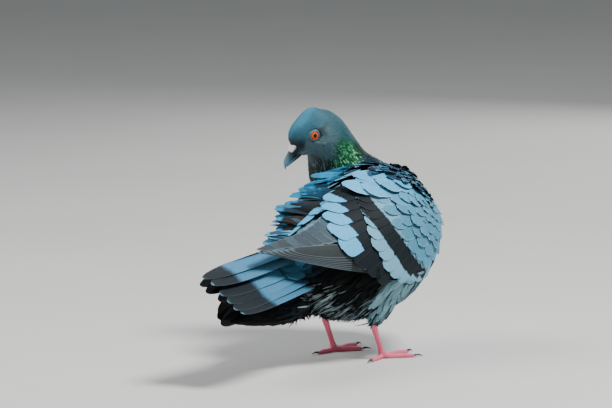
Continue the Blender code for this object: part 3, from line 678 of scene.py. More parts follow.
# Nodes of flesh, and how deep the coat lies over each, in mm.
FLESH = {
    "head": 0.7, "neck_upper": 1.8, "neck_lower": 2.6, "trunk": 3.2, "undertail": 3.0,
    "thigh_left": 1.6, "thigh_right": 1.6, "wing_left_coverts": 2.6, "wing_right_coverts": 2.6,
}
NECK_NODES = ["neck_upper", "neck_lower"]
THIGHS = ["thigh_left", "thigh_right"]
SKIN_GRAIN, SKIN_ROUNDS, DEPTH_ROUNDS = 1.5, 6, 12  # the skin's faces in mm, and rounds of smoothing
SKIN_SHADE = 0.55  # how dark the skin is beside the coat over it
COVERED_FROM, COVERED_WITHIN = 2.5, 22  # how near over a root a wing's face covers it, in mm


def surface_tree(names):
    """A search tree over the faces of some nodes, and which node each face belongs to."""
    points, faces, owner = [], [], []
    for name in names:
        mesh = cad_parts[name].data
        start = len(points)
        points += [v.co.copy() for v in mesh.vertices]
        faces += [[start + i for i in p.vertices] for p in mesh.polygons]
        owner += [name] * len(mesh.polygons)
    return BVHTree.FromPolygons(points, faces), owner


def with_sockets(points):
    """Points of the head's surface pressed in about the eyes, so that each eyeball stands out."""
    x, y, z = from_head(points).T
    radius, out = np.hypot(x, z), np.abs(y)
    limit = EYE_OUT + 0.2 + 1.3 * np.clip((radius - 3.4) / 1.2, 0, 1) + 1.05 * np.maximum(radius - 4.8, 0)
    near = (radius < 11) & (out > EYE_OUT - 4) & (out < EYE_OUT + 9)
    y = np.where(near, np.sign(y) * np.minimum(out, limit), y)
    turn = np.array(HEAD)
    return np.stack([x, y, z], axis=1) * MM @ turn[:3, :3].T + turn[:3, 3]


def make_skin():
    """One closed skin: the nodes of flesh welded, and drawn in by the coat's depth. Returns its mesh, with
    the points and normals of the coat's outer surface from before it was drawn in, and the depth at each."""
    skin = welded("skin", FLESH, SKIN_GRAIN, SKIN_ROUNDS)
    outer = with_sockets(read(skin.vertices, "co", 3).astype(float))
    skin.vertices.foreach_set("co", outer.astype(np.float32).ravel())
    skin.update()
    normals = read(skin.vertices, "normal", 3).astype(float)
    tree, owner = surface_tree(FLESH)
    depth = np.array([FLESH[owner[tree.find_nearest(p)[2]]] for p in outer])
    first, second = read(skin.edges, "vertices", 2, np.int32).T
    count = len(outer)
    links = np.bincount(first, minlength=count) + np.bincount(second, minlength=count)
    for _ in range(DEPTH_ROUNDS):
        depth = (np.bincount(first, depth[second], count) + np.bincount(second, depth[first], count)) / links
    inner = outer - normals * depth[:, None] * MM
    skin.vertices.foreach_set("co", inner.astype(np.float32).ravel())
    skin.update()
    store(skin, "tint", with_alpha(markings(outer) * SKIN_SHADE))
    piece = shown(skin, skin_finish())
    unwrap(piece)
    settled(piece, "body_plumage", *FLESH)
    return skin, outer, normals, depth


def unwrap(piece):
    """Unwraps a piece by its own shape into the map that the bake uses."""
    piece.data.uv_layers.new(name="OFBake")
    bpy.context.view_layer.objects.active = piece
    piece.select_set(True)
    bpy.ops.object.mode_set(mode="EDIT")
    bpy.ops.mesh.select_all(action="SELECT")
    bpy.ops.uv.smart_project(angle_limit=math.radians(66), island_margin=0.002)
    bpy.ops.object.mode_set(mode="OBJECT")
    piece.select_set(False)


def scattered(spots, spacing):
    """Indices of spots (n, 3), taken in order, no nearer to each other than their spacing."""
    cell = float(spacing.max())
    around = [(a, b, c) for a in (-1, 0, 1) for b in (-1, 0, 1) for c in (-1, 0, 1)]
    grid, kept = {}, []
    for index, ((x, y, z), gap) in enumerate(zip(spots.tolist(), (spacing**2).tolist())):
        a, b, c = int(x // cell), int(y // cell), int(z // cell)
        near = (spot for da, db, dc in around for spot in grid.get((a + da, b + db, c + dc), ()))
        if all((x - p) ** 2 + (y - q) ** 2 + (z - r) ** 2 > gap for p, q, r in near):
            kept.append(index)
            grid.setdefault((a, b, c), []).append((x, y, z))
    return np.array(kept)


class Coat:
    """The skin with the coat's outer surface over it, from which roots for small feathers are picked."""

    def __init__(self):
        mesh, self.outer, self.normals, self.depth = make_skin()
        self.tree = BVHTree.FromPolygons(self.outer.tolist(), [list(p.vertices) for p in mesh.polygons])
        mesh.calc_loop_triangles()
        self.triangles = np.array([t.vertices for t in mesh.loop_triangles])
        uv = read(mesh.uv_layers["OFBake"].data, "uv", 2)
        self.uv = uv[np.array([t.loops for t in mesh.loop_triangles])]
        self.face_uv = uv[np.array([p.loop_start for p in mesh.polygons])]
        corners = self.outer[self.triangles]
        cross = np.cross(corners[:, 1] - corners[:, 0], corners[:, 2] - corners[:, 0])
        self.areas = np.linalg.norm(cross, axis=1) / 2
        loose = ("wing", "scapulars", "tertials")
        self.wings, _ = surface_tree([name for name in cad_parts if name.startswith(loose)])
        flesh, owner = surface_tree([name for name in FLESH if not name.startswith("wing")])
        names = []
        for centre in corners.mean(axis=1):
            _, _, face, gap = flesh.find_nearest(centre)
            limit = 8 if self.near_head(Vector(centre)) else 2.2
            names.append(owner[face] if gap < limit * MM else "wing")
        self.owner = np.array(names)

    def near_head(self, place):
        return (place - HEAD.translation).length <= HEAD_REACH * MM

    def patches(self, points):
        """The nearest faces' places in the map, for the roots of feathers."""
        return np.array([self.face_uv[self.tree.find_nearest(Vector(point))[2]] for point in points])

    def out_from_head(self, side, x, z, start):
        """How far out the coat lies beside the head at (x, z), in mm, sought from start, or None."""
        outward = HEAD.to_3x3() @ Vector((0, side, 0))
        spot = self.tree.ray_cast(in_head(x, side * start, z), -outward)[0]
        return (HEAD.inverted() @ spot).y / MM * side if spot else None

    def roots(self, rng, names, density, closeness):
        """Roots on the named nodes' share of the coat: (places, normals, depth, uv, lies, sizes)."""
        areas = np.where(np.isin(self.owner, names), self.areas, 0)
        tries = int(density * areas.sum() / MM**2)
        picked = rng.choice(len(areas), tries, p=areas / areas.sum())
        a, b = rng.random((2, tries))
        over = a + b > 1
        a, b = np.where(over, 1 - a, a), np.where(over, 1 - b, b)
        weights = np.stack([1 - a - b, a, b], axis=1)[..., None]
        corner = self.triangles[picked]
        places = (self.outer[corner] * weights).sum(axis=1)
        normals = unit((self.normals[corner] * weights).sum(axis=1))
        depth = (self.depth[corner] * weights[..., 0]).sum(axis=1)
        uv = (self.uv[picked] * weights).sum(axis=1)
        lies = unit(blended(places, COAT_PLACES, COAT_LIES))
        sizes = blended(places, COAT_PLACES, COAT_SIZES)
        kept = np.nonzero([self.is_open(Vector(p), Vector(n)) for p, n in zip(places, normals)])[0]
        kept = kept[scattered(places[kept], sizes[kept, 1] * closeness * MM)]
        return [values[kept] for values in (places, normals, depth, uv, lies, sizes)]

    def is_open(self, place, normal):
        """Whether a root isn't buried under a wing or in the bill or an eye."""
        start = place + normal * (COVERED_FROM * MM)
        spot, facing, _, _ = self.wings.ray_cast(start, normal, COVERED_WITHIN * MM)
        if spot is not None and facing.dot(normal) > 0:
            return False
        x, y, z = (HEAD.inverted() @ place) / MM
        in_ring = abs(y) > 7 and ((x - 1.2) / 6.0) ** 2 + (z / 4.9) ** 2 < 1
        in_cere = x > 12.0 and abs(y) < 5.6 and -4.4 < z < 3.9
        return not (in_ring or in_cere) or not self.near_head(place)

    def on_surface(self, places, lift):
        """The nearest places on the coat's outer surface, raised by lift, and the normals there."""
        found = [self.tree.find_nearest(Vector(place)) for place in places]
        ups = np.array([hit[1] for hit in found])
        return np.array([hit[0] for hit in found]) + ups * np.reshape(lift, (-1, 1)), ups

    def dress(self, rng, leaf, names, density, plumages, closeness, ragged, contrast=0.1, recolour=None,
              parted=None, chosen=None, shape=(1, 1, 0)):
        """Lays small feathers over the named nodes, each bent to the coat's surface along its lie.

        density is roots tried to the square mm. recolour, parted and chosen give their colours, which plumage
        each goes to and whether it is there. shape changes their length and half width by factors and adds to
        how far their tips stand off.
        """
        found = self.roots(rng, names, density, closeness)
        if chosen:
            some = chosen(found[0])
            found = [values[some] for values in found]
        places, normals, depth, uv, lies, sizes = found
        sizes = sizes * np.array([*shape[:2], 1]) + np.array([0, 0, shape[2]])
        n = len(places)
        lies = unit(lies + 0.10 * rng.normal(size=(n, 3)))
        lies = unit(lies - normals * np.sum(lies * normals, axis=1, keepdims=True))
        length, half, off = (sizes * (1 + 0.12 * rng.uniform(-1, 1, (n, 1)))).T
        run = lies * (length * MM)[:, None]
        root = places - normals * (depth * 0.7 * MM)[:, None]
        middle, mid_up = self.on_surface(places + run * 0.5, -0.15 * depth * MM)
        tip, tip_up = self.on_surface(places + run, off * MM * rng.uniform(0.4, 1.3, n))
        up = unit(normals + mid_up + 0.5 * tip_up)
        tint = jitter(rng, markings(places + run * 0.6), contrast)
        if recolour:
            tint = recolour(rng, places, tint)
        leaves = bent_leaves(leaf, rng, root, middle, tip, up, half, camber=0.18, thick=0.12, ragged=ragged)
        chance = rng.random(n)
        part = parted(places) if parted else np.zeros(n, int)
        part[np.linalg.norm(tip - places, axis=1) > (1.2 * length + 2) * MM] = -1
        for index, plumage in enumerate(plumages):
            rows = [values[part == index] for values in (leaves, half, length, tint, chance, uv)]
            plumage.lay(leaf, *rows, SMALL_PATCH)


def dress_torso(coat):
    """Head, neck, body and undertail feathers."""
    rng = np.random.default_rng(7)
    head, neck = Plumage("head_feathers"), Plumage("neck_feathers")
    front, rear = Plumage("breast_feathers"), Plumage("vent_and_back_feathers")
    strands = Plumage("loose_flank_strands")
    middle = at(20, 0, 0).x
    fine, short, narrow = Leaf(2, 3, 0.4, 0.7), Leaf(2, 4, 0.45, 0.6), Leaf(2, 3, 0.3, 0.5)
    broad, thin = Leaf(4, 6, 0.5, 0.5), Leaf(2, 6, 0.3, 0.5)
    coat.dress(rng, fine, ["head"], 6, [head], closeness=0.85, ragged=0.35, contrast=0.05)
    coat.dress(rng, short, NECK_NODES, 1.6, [neck], closeness=0.85, ragged=0.4, contrast=0.12)
    coat.dress(rng, narrow, NECK_NODES, 3.0, [neck], closeness=0.5, ragged=0.3, recolour=neck_glints,
               chosen=glossy_zone, shape=(0.6, 0.34, 0.25))
    coat.dress(rng, broad, ["trunk", *THIGHS, "undertail"], 0.45, [front, rear], closeness=0.75, ragged=0.4,
               contrast=0.05, parted=lambda places: (places[:, 0] < middle).astype(int),
               shape=(1, 0.8, -0.35))
    coat.dress(rng, thin, ["trunk", *THIGHS], 1.5, [strands], closeness=0.34, ragged=0.3,
               recolour=strand_colours, chosen=loose_zone, shape=(1.3, 0.21, 1.6))
    matt = feather_finish("head_plumage_matt", 0.62, streak=0.08, relief=0.25, shaft=0.0)
    head.join(matt, "head_plumage", "head")
    glossy = feather_finish("neck_plumage_glossy", 0.5, streak=0.2, relief=0.3, metallic=0.15, shaft=0.0)
    neck.join(glossy, "neck_plumage", *NECK_NODES)
    soft = feather_finish("body_plumage_soft", 0.8, streak=0.2, relief=0.35, shaft=0.2, gloss=0.06)
    front.join(soft, "body_plumage", "trunk")
    strands.join(soft, "body_plumage", "trunk", *THIGHS)
    rear.join(soft, "body_plumage", "trunk", "undertail", *THIGHS)


def loose_zone(places):
    """Where the flank's feathers hang loose: behind the legs, under the wings."""
    x, y, z = in_bird(places).T
    edge = 12 * np.sin(z * 0.4) + 8 * np.sin(y * 0.9)
    return (x < -8 + 0.4 * edge) & (x > -82) & (z < 74) & (np.abs(y) > 6)


def strand_colours(rng, places, tint):
    """Pale strands among dark ones painted in the vent's near black as painted shade: the pale ones most
    along a line that falls from the tail's root to the knees.
    """
    n = len(places)
    x, y, z = in_bird(places).T
    line = np.interp(x, [-85, -46, -20, -8], [68, 60, 42, 36])
    pale = rng.random(n) < 0.04 + 0.72 * np.exp(-(((z - line) / 10) ** 2))
    return np.where(pale[:, None], COLOURS["vent_pale"] * rng.uniform(0.12, 0.9, (n, 1)), COLOURS["vent"])


def glossy_zone(places):
    """The length of the neck where narrow shining tips lie over the others."""
    height = in_bird(places)[:, 2]
    return (height > 138) & (height < 170)


def neck_glints(rng, places, tint):
    """Narrow tips: painted glints, bright green where the side of the neck is most glossy and grey on the
    throat;
    else dark.
    """
    n = len(places)
    gap = np.linalg.norm((in_bird(places) - (15, 23, 157)) / (13, 13, 11), axis=1)
    # The painted glints are strongest at one spot on the side of the neck.
    glossy = np.clip(1.6 * np.exp(-gap**4), 0, 1)
    bright = rng.random(n)[:, None]
    deep = np.where(bright < 0.72, COLOURS["green"] * 1.6, COLOURS["green_dark"] * 0.6)
    green = np.where(bright < 0.36, COLOURS["green_glint"], deep)
    throat = np.exp(-(np.linalg.norm(in_bird(places) - (8, 36, 150), axis=1) / 16) ** 4)
    grey = np.where(rng.random((n, 1)) < 0.32, COLOURS["lid"] * 1.4, tint * 0.85)
    colour = tint * np.where(rng.random((n, 1)) < 0.5, 0.75, 1.15)
    colour = colour + (grey - colour) * throat[:, None]
    return colour + (green - colour) * (glossy * rng.uniform(0.6, 1, n))[:, None]


# Wings

FACE_ROWS, FACE_COLUMNS = 240, 60


class WingFace:
    """The outer face of a folded wing by (x, h) in mm: x along the bird, h up the face."""

    def __init__(self, side):
        table = np.array([eased(WINGS[side], k / FACE_ROWS) for k in range(FACE_ROWS + 1)])[::-1]
        share = np.linspace(0, 1, FACE_COLUMNS + 1)
        low, chord, bulge = table[:, 1:3], table[:, 3:5] - table[:, 1:3], table[:, 5:]
        out = unit(np.stack([chord[:, 1], -chord[:, 0]], axis=1))
        out = out * np.where(out[:, :1] < 0, -1, 1)
        crown = np.abs(np.sin(np.pi * share)) ** 0.8
        face = low[:, None] + chord[:, None] * share[:, None] + out[:, None] * (bulge * crown)[..., None]
        run = np.cumsum(np.linalg.norm(np.diff(face, axis=1), axis=2), axis=1)
        run = np.insert(run, 0, 0, axis=1)
        even = np.array([
            [np.interp(share * reach[-1], reach, column) for column in row.T] for reach, row in zip(run, face)
        ])
        self.side, self.x, self.span, self.foot = side, table[:, 0], run[:, -1], table[:, 2]
        self.lowest = np.interp(22, self.x, self.foot)
        x = np.broadcast_to(self.x[:, None], even[:, 0].shape)
        self.points = np.stack([x, side * even[:, 0], even[:, 1]], axis=2)
        down_bird, up_face = np.gradient(self.points, axis=0), np.gradient(self.points, axis=1)
        self.normals = unit(np.cross(down_bird, up_face)) * -side

    def height(self, x):
        """How far it is up the face from the lower edge to the upper one at x."""
        return np.interp(x, self.x, self.span)

    def bottom(self, x):
        """Where the lower edge is at x, as h."""
        return np.interp(x, self.x, self.foot) - self.lowest

    def top(self, x):
        """Where the upper edge is at x, as h."""
        return self.height(x) + self.bottom(x)

    def spot(self, x, h):
        """Places in metres and normals at (x, h), carried on straight past the edges."""
        share = (h - self.bottom(x)) / self.height(x)
        row = np.interp(x, self.x, np.arange(len(self.x)))
        i = np.clip(np.floor(row).astype(int), 0, len(self.x) - 2)
        place = np.clip(share, -0.4, 1.4) * FACE_COLUMNS
        j = np.clip(np.floor(place).astype(int), 0, FACE_COLUMNS - 1)
        a, b = (row - i)[..., None], (place - j)[..., None]

        def between_knots(grid):
            first = grid[i, j] * (1 - b) + grid[i, j + 1] * b
            second = grid[i + 1, j] * (1 - b) + grid[i + 1, j + 1] * b
            return first * (1 - a) + second * a

        points = between_knots(self.points)
        points[..., 0] += x - np.clip(x, self.x[0], self.x[-1])
        return points * MM + np.array(ORIGIN), unit(between_knots(self.normals))

    def leaves(self, leaf, rng, root, tip, half, rise, roll, camber, thick, ragged, bow=0.0):
        """Leaf points over the face: root and tip (n, 2) by (x, h), rise (n, 2) off the face at both."""
        t, u = leaf.t, leaf.u
        along = tip - root
        ahead = unit(along)
        across = np.stack([ahead[:, 1], -ahead[:, 0]], axis=1) * -self.side
        half = np.reshape(half, (-1, 1))
        reach = u * notched(rng, leaf, len(root), ragged) * half - self.side * bow * 4 * t * (1 - t)
        spots = root[:, None] + along[:, None] * t[:, None] + across[:, None] * reach[..., None]
        points, normals = self.spot(spots[..., 0], spots[..., 1])
        off = rise[:, :1] + (rise[:, 1:] - rise[:, :1]) * t
        off = off - camber * half * u**2 + roll * u * self.side - leaf.under * thick
        return points + normals * (off * MM)[..., None]


# The coverts lie in arcs about this point of the wing's face, at the bend of the wing: (x, h).
WING_HUB = (50, 62)


def ways(angle):
    """Directions over the face at angles in degrees: 180 is towards the tail, 270 towards the belly."""
    turn = np.radians(angle)
    return np.stack([np.cos(turn), np.sin(turn)], axis=-1)


def lie_angle(angle):
    """Which way a covert at an angle about the hub points: backwards above, more and more downwards below."""
    return 181 + 0.72 * np.clip(angle - 168, 0, 110) - 0.10 * np.maximum(168 - angle, 0)


def rooted(tip, length, way):
    """Where feathers whose tips and ways in degrees are given have their roots."""
    return tip - np.reshape(length, (-1, 1)) * ways(way)


# Rows of small coverts, outermost first: (tip radius, length, half width, first and last angle, gap, rise).
COVERT_ROWS = [
    (60, 26, 8.0, 150, 240, 11.2, 1.1), (51, 25, 7.8, 128, 246, 11.0, 1.4),
    (42, 23, 7.4, 112, 262, 10.6, 1.5), (33.5, 21, 6.8, 100, 275, 9.8, 1.5),
    (25.5, 18, 6.0, 80, 300, 8.6, 1.4), (18.5, 15, 5.2, 50, 320, 7.2, 1.2),
    (12, 12, 4.2, 20, 340, 5.8, 1.0), (6, 8, 3.2, 0, 350, 4.2, 0.8),
]
SCAPULAR_TIERS = (83, 91, 99, 107)  # height of their tips up the face at x = 0
SHOULDER_FROM = ([-7, 3.5, 15, 26, 46], [101, 98, 88, 78, 70])  # lowest tips of the shoulder's feathers by x

# The two barred rows by angle about the hub: how far out the tips lie, and where the bar starts and ends.
FRONT_TIPS = ([160, 170, 180, 191, 199, 215, 222, 233, 241], [73, 75.5, 79, 84.5, 88.5, 90, 86, 78, 67])
FRONT_BAR_STARTS = ([162, 175, 190, 205], [66, 64.5, 61.5, 60])
FRONT_BAR_ENDS = ([160, 170, 181, 191, 213, 222, 236, 242], [71, 76, 78, 76.5, 74, 75, 68, 58])
REAR_TIPS = (
    [160, 170, 176, 182, 190, 196, 204, 212, 222, 232], [90, 98, 104, 112, 119, 115.5, 108, 101, 96, 86],
)
REAR_BAR_ENDS = ([160, 170, 182, 192, 198, 206], [83, 87.5, 94, 97.5, 99, 100])
REAR_PLAIN = 199  # from this angle on the rear row is dark to its tips

# Layers of straps along the lower edge: (count, how deep, how high up the wing, gap at the roots, shade).
# The shade darkens the two deeper layers: painted shade under the layer above.
STRAP_LAYERS = [(5, 2.4, 0.72, 7, 0.7), (5, 1.2, 0.72, 7, 0.7), (7, 0.0, 0.5, 2.5, 1.0)]
# Tips of the stacked quills, by their x on a wing as long as the right one.
QUILL_TIPS = (-143, -136, -127, -117.5, -108, -98, -89, -80, -71.5, -64, -57)
QUILLS_FROM = -25  # x from which they are drawn together on the shorter wing


def dress_wing(coat, side):
    """Coverts, barred rows, scapulars and flight feathers of one wing."""
    name = SIDE_NAMES[side]
    rng = np.random.default_rng(20 + side)
    face = WingFace(side)
    small, barred, flight = (Plumage(f"{name}_wing_{part}") for part in ("coverts", "bars", "quills"))

    def small_row(leaf, tips, length, half, way, rise, lift, pale, tint):
        """Lays small feathers whose tips lie on the face; pale is how strong their pale edges are."""
        x, h = tips.T
        inside = (h < face.top(x) + 3) & (h > face.bottom(x) - 1.5) & (x < face.x[-1] - 1)
        tips, way, pale, tint = (values[inside] for values in (tips, way, pale, tint))
        n = len(tips)
        if n == 0:
            return
        length = length * rng.uniform(0.92, 1.08, n)
        half = half * rng.uniform(0.92, 1.1, n)
        tips = tips + rng.normal(0, 1.0, (n, 2))
        roots = rooted(tips, length, way + rng.normal(0, 6, n))
        rises = np.stack([np.full(n, -1.9), rise * rng.uniform(0.5, 1.7, n)], axis=1) + lift
        leaves = face.leaves(leaf, rng, roots, tips, half, rises, roll=0.5, camber=0.05, thick=0.25,
                             ragged=0.07)
        tint = jitter(rng, tint, 0.09)
        edge = rng.uniform(0.2, 0.7, n) * (0.6 + 0.4 * pale)
        small.lay(leaf, leaves, half, length, tint, rng.random(n), coat.patches(leaves[:, 0]), SMALL_PATCH,
                  back=COLOURS["down"], bar=edge[:, None] * (0, 0, 1))

    # Small coverts, palest along the top of the wing behind its bend: painted light from above.
    scale = Leaf(6, 8, 0.5, 0.55)
    for count, (radius, length, half, first, last, gap, rise) in enumerate(COVERT_ROWS):
        step = math.degrees(gap / radius)
        angles = np.arange(first + step * (0.5 if count % 2 else 0), last, step)
        tips = WING_HUB + ways(angles) * (radius + rng.normal(0, 0.7, len(angles)))[:, None]
        x, h = tips.T
        pale = np.clip((h - 58) / 34, 0, 1) * np.clip((62 - x) / 18, 0, 1)
        tint = between("covert", "covert_pale", pale)
        small_row(scale, tips, length, half, lie_angle(angles), rise, 0.1 * count, pale, tint)

    # Scapulars: big pale feathers over the top of the wing, tier on tier; those of the lit right wing are
    # painted paler than the left wing's, as painted light and shade.
    round_scale = Leaf(6, 8, 0.7, 0.5)
    for tier, h in enumerate(SCAPULAR_TIERS):
        x = np.arange(14 - tier * 11, -22 if tier == 0 else -36, -14.0)
        pale = np.full(len(x), (0.75 + 0.08 * tier) * (1 if side == RIGHT else 0.3))
        tint = between("covert", "covert_pale", pale)
        tips = np.stack([x, h + 0.02 * x], axis=1)
        small_row(round_scale, tips, 27, 10.4, np.full(len(x), 183.0), 2.1, 1.1 + 0.35 * tier, pale, tint)

    # The shoulder's loose feathers, dark and bluish, from the scapulars up to the wing's edge.
    for tier in range(8):
        x = np.arange(42 - 2.5 * (tier % 2), -10, -5.0)
        h = np.interp(x, *SHOULDER_FROM) + 4.0 * tier
        tips = np.stack([x, h], axis=1)[h < face.top(x) - 1]
        n = len(tips)
        tint = between("neck_base", "covert_pale", rng.random((n, 1)) ** 2 * 0.5)
        small_row(scale, tips, 17, 3.6, rng.normal(190, 10, n), 2.2, 2.2, np.zeros(n), tint)

    # The two barred rows: greater coverts with the front bar, then secondaries with the rear one.
    long = Leaf(6, 12, 0.84, 0.55)

    def barred_row(angles, radius, length, half, rise, start, end, tint, first):
        n = len(angles)
        tips = WING_HUB + ways(angles) * radius[:, None]
        roots = rooted(tips, length, lie_angle(angles))
        rises = np.array([rise - 1.4, rise]) - np.linspace(0, 1.2, n)[:, None]
        leaves = face.leaves(long, rng, roots, tips, half, rises, roll=0.45, camber=0.04, thick=0.25,
                             ragged=0.04)
        bar = np.stack([start, end, np.zeros(n)], axis=1)
        patch = cells(first + np.arange(n), 8)
        barred.lay(long, leaves, half, length, jitter(rng, tint, 0.05), rng.random(n), patch, BAR_PATCH,
                   COLOURS["bar"], COLOURS["down"], bar)

    angles = np.arange(162, 243, 6.2)
    length = 45.0
    radius = np.interp(angles, *FRONT_TIPS) + rng.normal(0, 0.5, len(angles))
    start = length - (radius - np.interp(angles, *FRONT_BAR_STARTS))
    end = length - (radius - np.interp(angles, *FRONT_BAR_ENDS))
    half = np.interp(angles, [175, 240], [7.8, 6.6])
    tint = between("covert", "band_tip", np.full(len(angles), 0.5))
    barred_row(angles, radius, length, half, 0.7, start, end, tint, 0)

    angles = np.arange(165, 217, 7.2)
    length = 48.0
    radius = np.interp(angles, *REAR_TIPS) + rng.normal(0, 0.6, len(angles))
    plain = angles > REAR_PLAIN
    end = np.where(plain, 70, length - (radius - np.interp(angles, *REAR_BAR_ENDS)))
    half = np.interp(angles, [165, 190, 215], [9.6, 10.2, 8.5])
    tint = np.where(plain[:, None], COLOURS["bar"] * 1.15, COLOURS["covert_pale"])
    barred_row(angles, radius, length, half, 0.1, np.full(len(angles), 8.0), end, tint, 20)

    # Quills: straps along the lower edge, then rounded tips stacked above them.
    def quill_row(leaf, tips, roots, half, rise, bow, tint, first, edge):
        n = len(tips)
        length = np.linalg.norm(tips - roots, axis=1)
        rises = np.stack([rise - 0.6, rise], axis=1)
        leaves = face.leaves(leaf, rng, roots, tips, half, rises, roll=0.3, camber=0.03, thick=0.22,
                             ragged=0.02, bow=bow)
        patch = cells(first + np.arange(n), 6)
        flight.lay(leaf, leaves, half, length, jitter(rng, tint, 0.08), rng.random(n), patch, QUILL_PATCH,
                   tint, COLOURS["flight"] * 0.5, (0, 0, edge))

    shortened = (face.x[0] - QUILLS_FROM) / (WING_LENGTH - QUILLS_FROM)
    strap = Leaf(6, 18, 0.3, 0.6)
    for layer, (count, inset, share, gap, shade) in enumerate(STRAP_LAYERS):
        k = np.arange(count)
        x = face.x[0] + 7 + (5.5 * k + 12 * (2 - layer)) * shortened
        tips = np.stack([x, face.bottom(x) + (0.5 + 0.03 * k) * face.height(x) * share], axis=1)
        x = -12 - 3.0 * k
        roots = np.stack([x, face.bottom(x) + 5.5 + gap * k], axis=1)
        # The deeper layers are painted darker, as painted shade.
        tint = np.tile(COLOURS["flight"] * shade, (count, 1))
        quill_row(strap, tips, roots, 6.5, -4.6 - inset + 0.36 * k, -1.0, tint, 7 * (2 - layer), 0.5)

    x = QUILLS_FROM + (np.array(QUILL_TIPS) - QUILLS_FROM) * shortened
    k = np.arange(len(x))
    tips = np.stack([x, face.bottom(x) + (0.78 - 0.06 * (k > 3)) * face.height(x)], axis=1)
    start = np.minimum(x + 58, 20)
    roots = np.stack([x + 58, face.bottom(start) + 0.62 * face.height(start)], axis=1)
    half = np.maximum(0.3 * face.height(x) + 2.0, 4.2)
    tint = between("flight", "flight_pale", 0.2 + 0.7 * rng.random((len(x), 1)))
    quill_row(Leaf(6, 18, 0.86, 0.45), tips, roots, half, -4.4 + 0.24 * k, 1.5, tint, 21, 0.55)

    small.join(FINISHES["covert"], "wing_coverts", f"wing_{name}_coverts")
    barred.join(FINISHES["bars"], "wing_coverts", f"wing_{name}_coverts")
    flight.join(FINISHES["quills"], "flight_feathers", f"wing_{name}_secondaries", f"wing_{name}_primaries")


# Tail and the raised feathers of the left of the back


def dress_tail(side):
    """Six tail feathers of one half and their coverts: blue-grey, dark before the tip, thinly edged."""
    name = SIDE_NAMES[side]
    rng = np.random.default_rng(40 + side)
    tail = Plumage(f"{name}_tail_feathers")
    tips = np.array([at(*tip) for tip in TAIL_TIPS[side]])
    top, foot = np.array(at(*TAIL_TOP)), np.array(at(*TAIL_FOOT[side]))
    edges = top + (foot - top) * np.arange(7)[:, None] / 6
    n = np.arange(6)
    inner = n < 2
    root, tip = (points[:-1] * 0.6 + points[1:] * 0.4 for points in (edges, tips))
    along = unit(tip - root)
    out = unit(np.cross(along, tips[1:] - tips[:-1]) * -side)
    lift = (0.2 - TAIL_STEP * n + np.where(inner, 3.0, -0.8))[:, None] * MM
    root = root - along * 14 * MM + out * (lift - MM)
    tip = tip + along * (3 + rng.uniform(-3, 3, (6, 1))) * MM + out * lift
    middle = (root + tip) / 2 + out * (TAIL_BOW * (0.3 + 0.7 * n[:, None] / 5) * MM)
    length = np.linalg.norm(tip - root, axis=1) / MM
    half = np.where(inner, 7.8, 8.4)
    leaf = Leaf(8, 24, 0.66, 0.5)
    leaves = bent_leaves(leaf, rng, root, middle, tip, out, half, camber=0.05, thick=0.35, ragged=0.02)
    band = np.where(inner, 29, 40)  # how long the dark end is
    bar = np.stack([length - band, length - 1.4, np.full(6, 0.12)], axis=1)
    tint = jitter(rng, np.tile(COLOURS["tail"], (6, 1)), 0.06)
    # Their undersides take the undertail's near black: painted shade.
    tail.lay(leaf, leaves, half, length, tint, rng.random(6), cells(n, 3), TAIL_PATCH, COLOURS["tail_band"],
             COLOURS["undertail"], bar)
    short = Leaf(4, 8, 0.6, 0.5)
    for tier in range(3):
        k = np.arange(4 - tier)
        place = ((k + 0.2 + tier * 0.3) / 6)[:, None]
        root = top + (foot - top) * place - along[0] * (6 + 9 * tier) * MM
        tip = root + along[k] * (34 - 3 * tier) * MM
        rise = out[k] * ((1.6 + 0.7 * tier - 0.2 * k) * MM)[:, None]
        middle = (root + tip) / 2 + rise * 1.3
        tip = tip + rise
        leaves = bent_leaves(short, rng, root, middle, tip, out[k], 8.5, camber=0.12, thick=0.2, ragged=0.1)
        # Painted darker than the tail: painted shade under the wing.
        tint = jitter(rng, np.tile(COLOURS["tail"] * 0.7, (len(k), 1)), 0.08)
        patch = np.stack([0.62 + 0.05 * k, np.full(len(k), 0.2 + 0.2 * tier)], axis=1)
        # Their undersides take the undertail's near black: painted shade.
        tail.lay(short, leaves, 8.5, 34.0, tint, rng.random(len(k)), patch, TAIL_COVERT_PATCH,
                 back=COLOURS["undertail"])
    tail.join(FINISHES["tail"], "tail_feathers", f"tail_{name}")


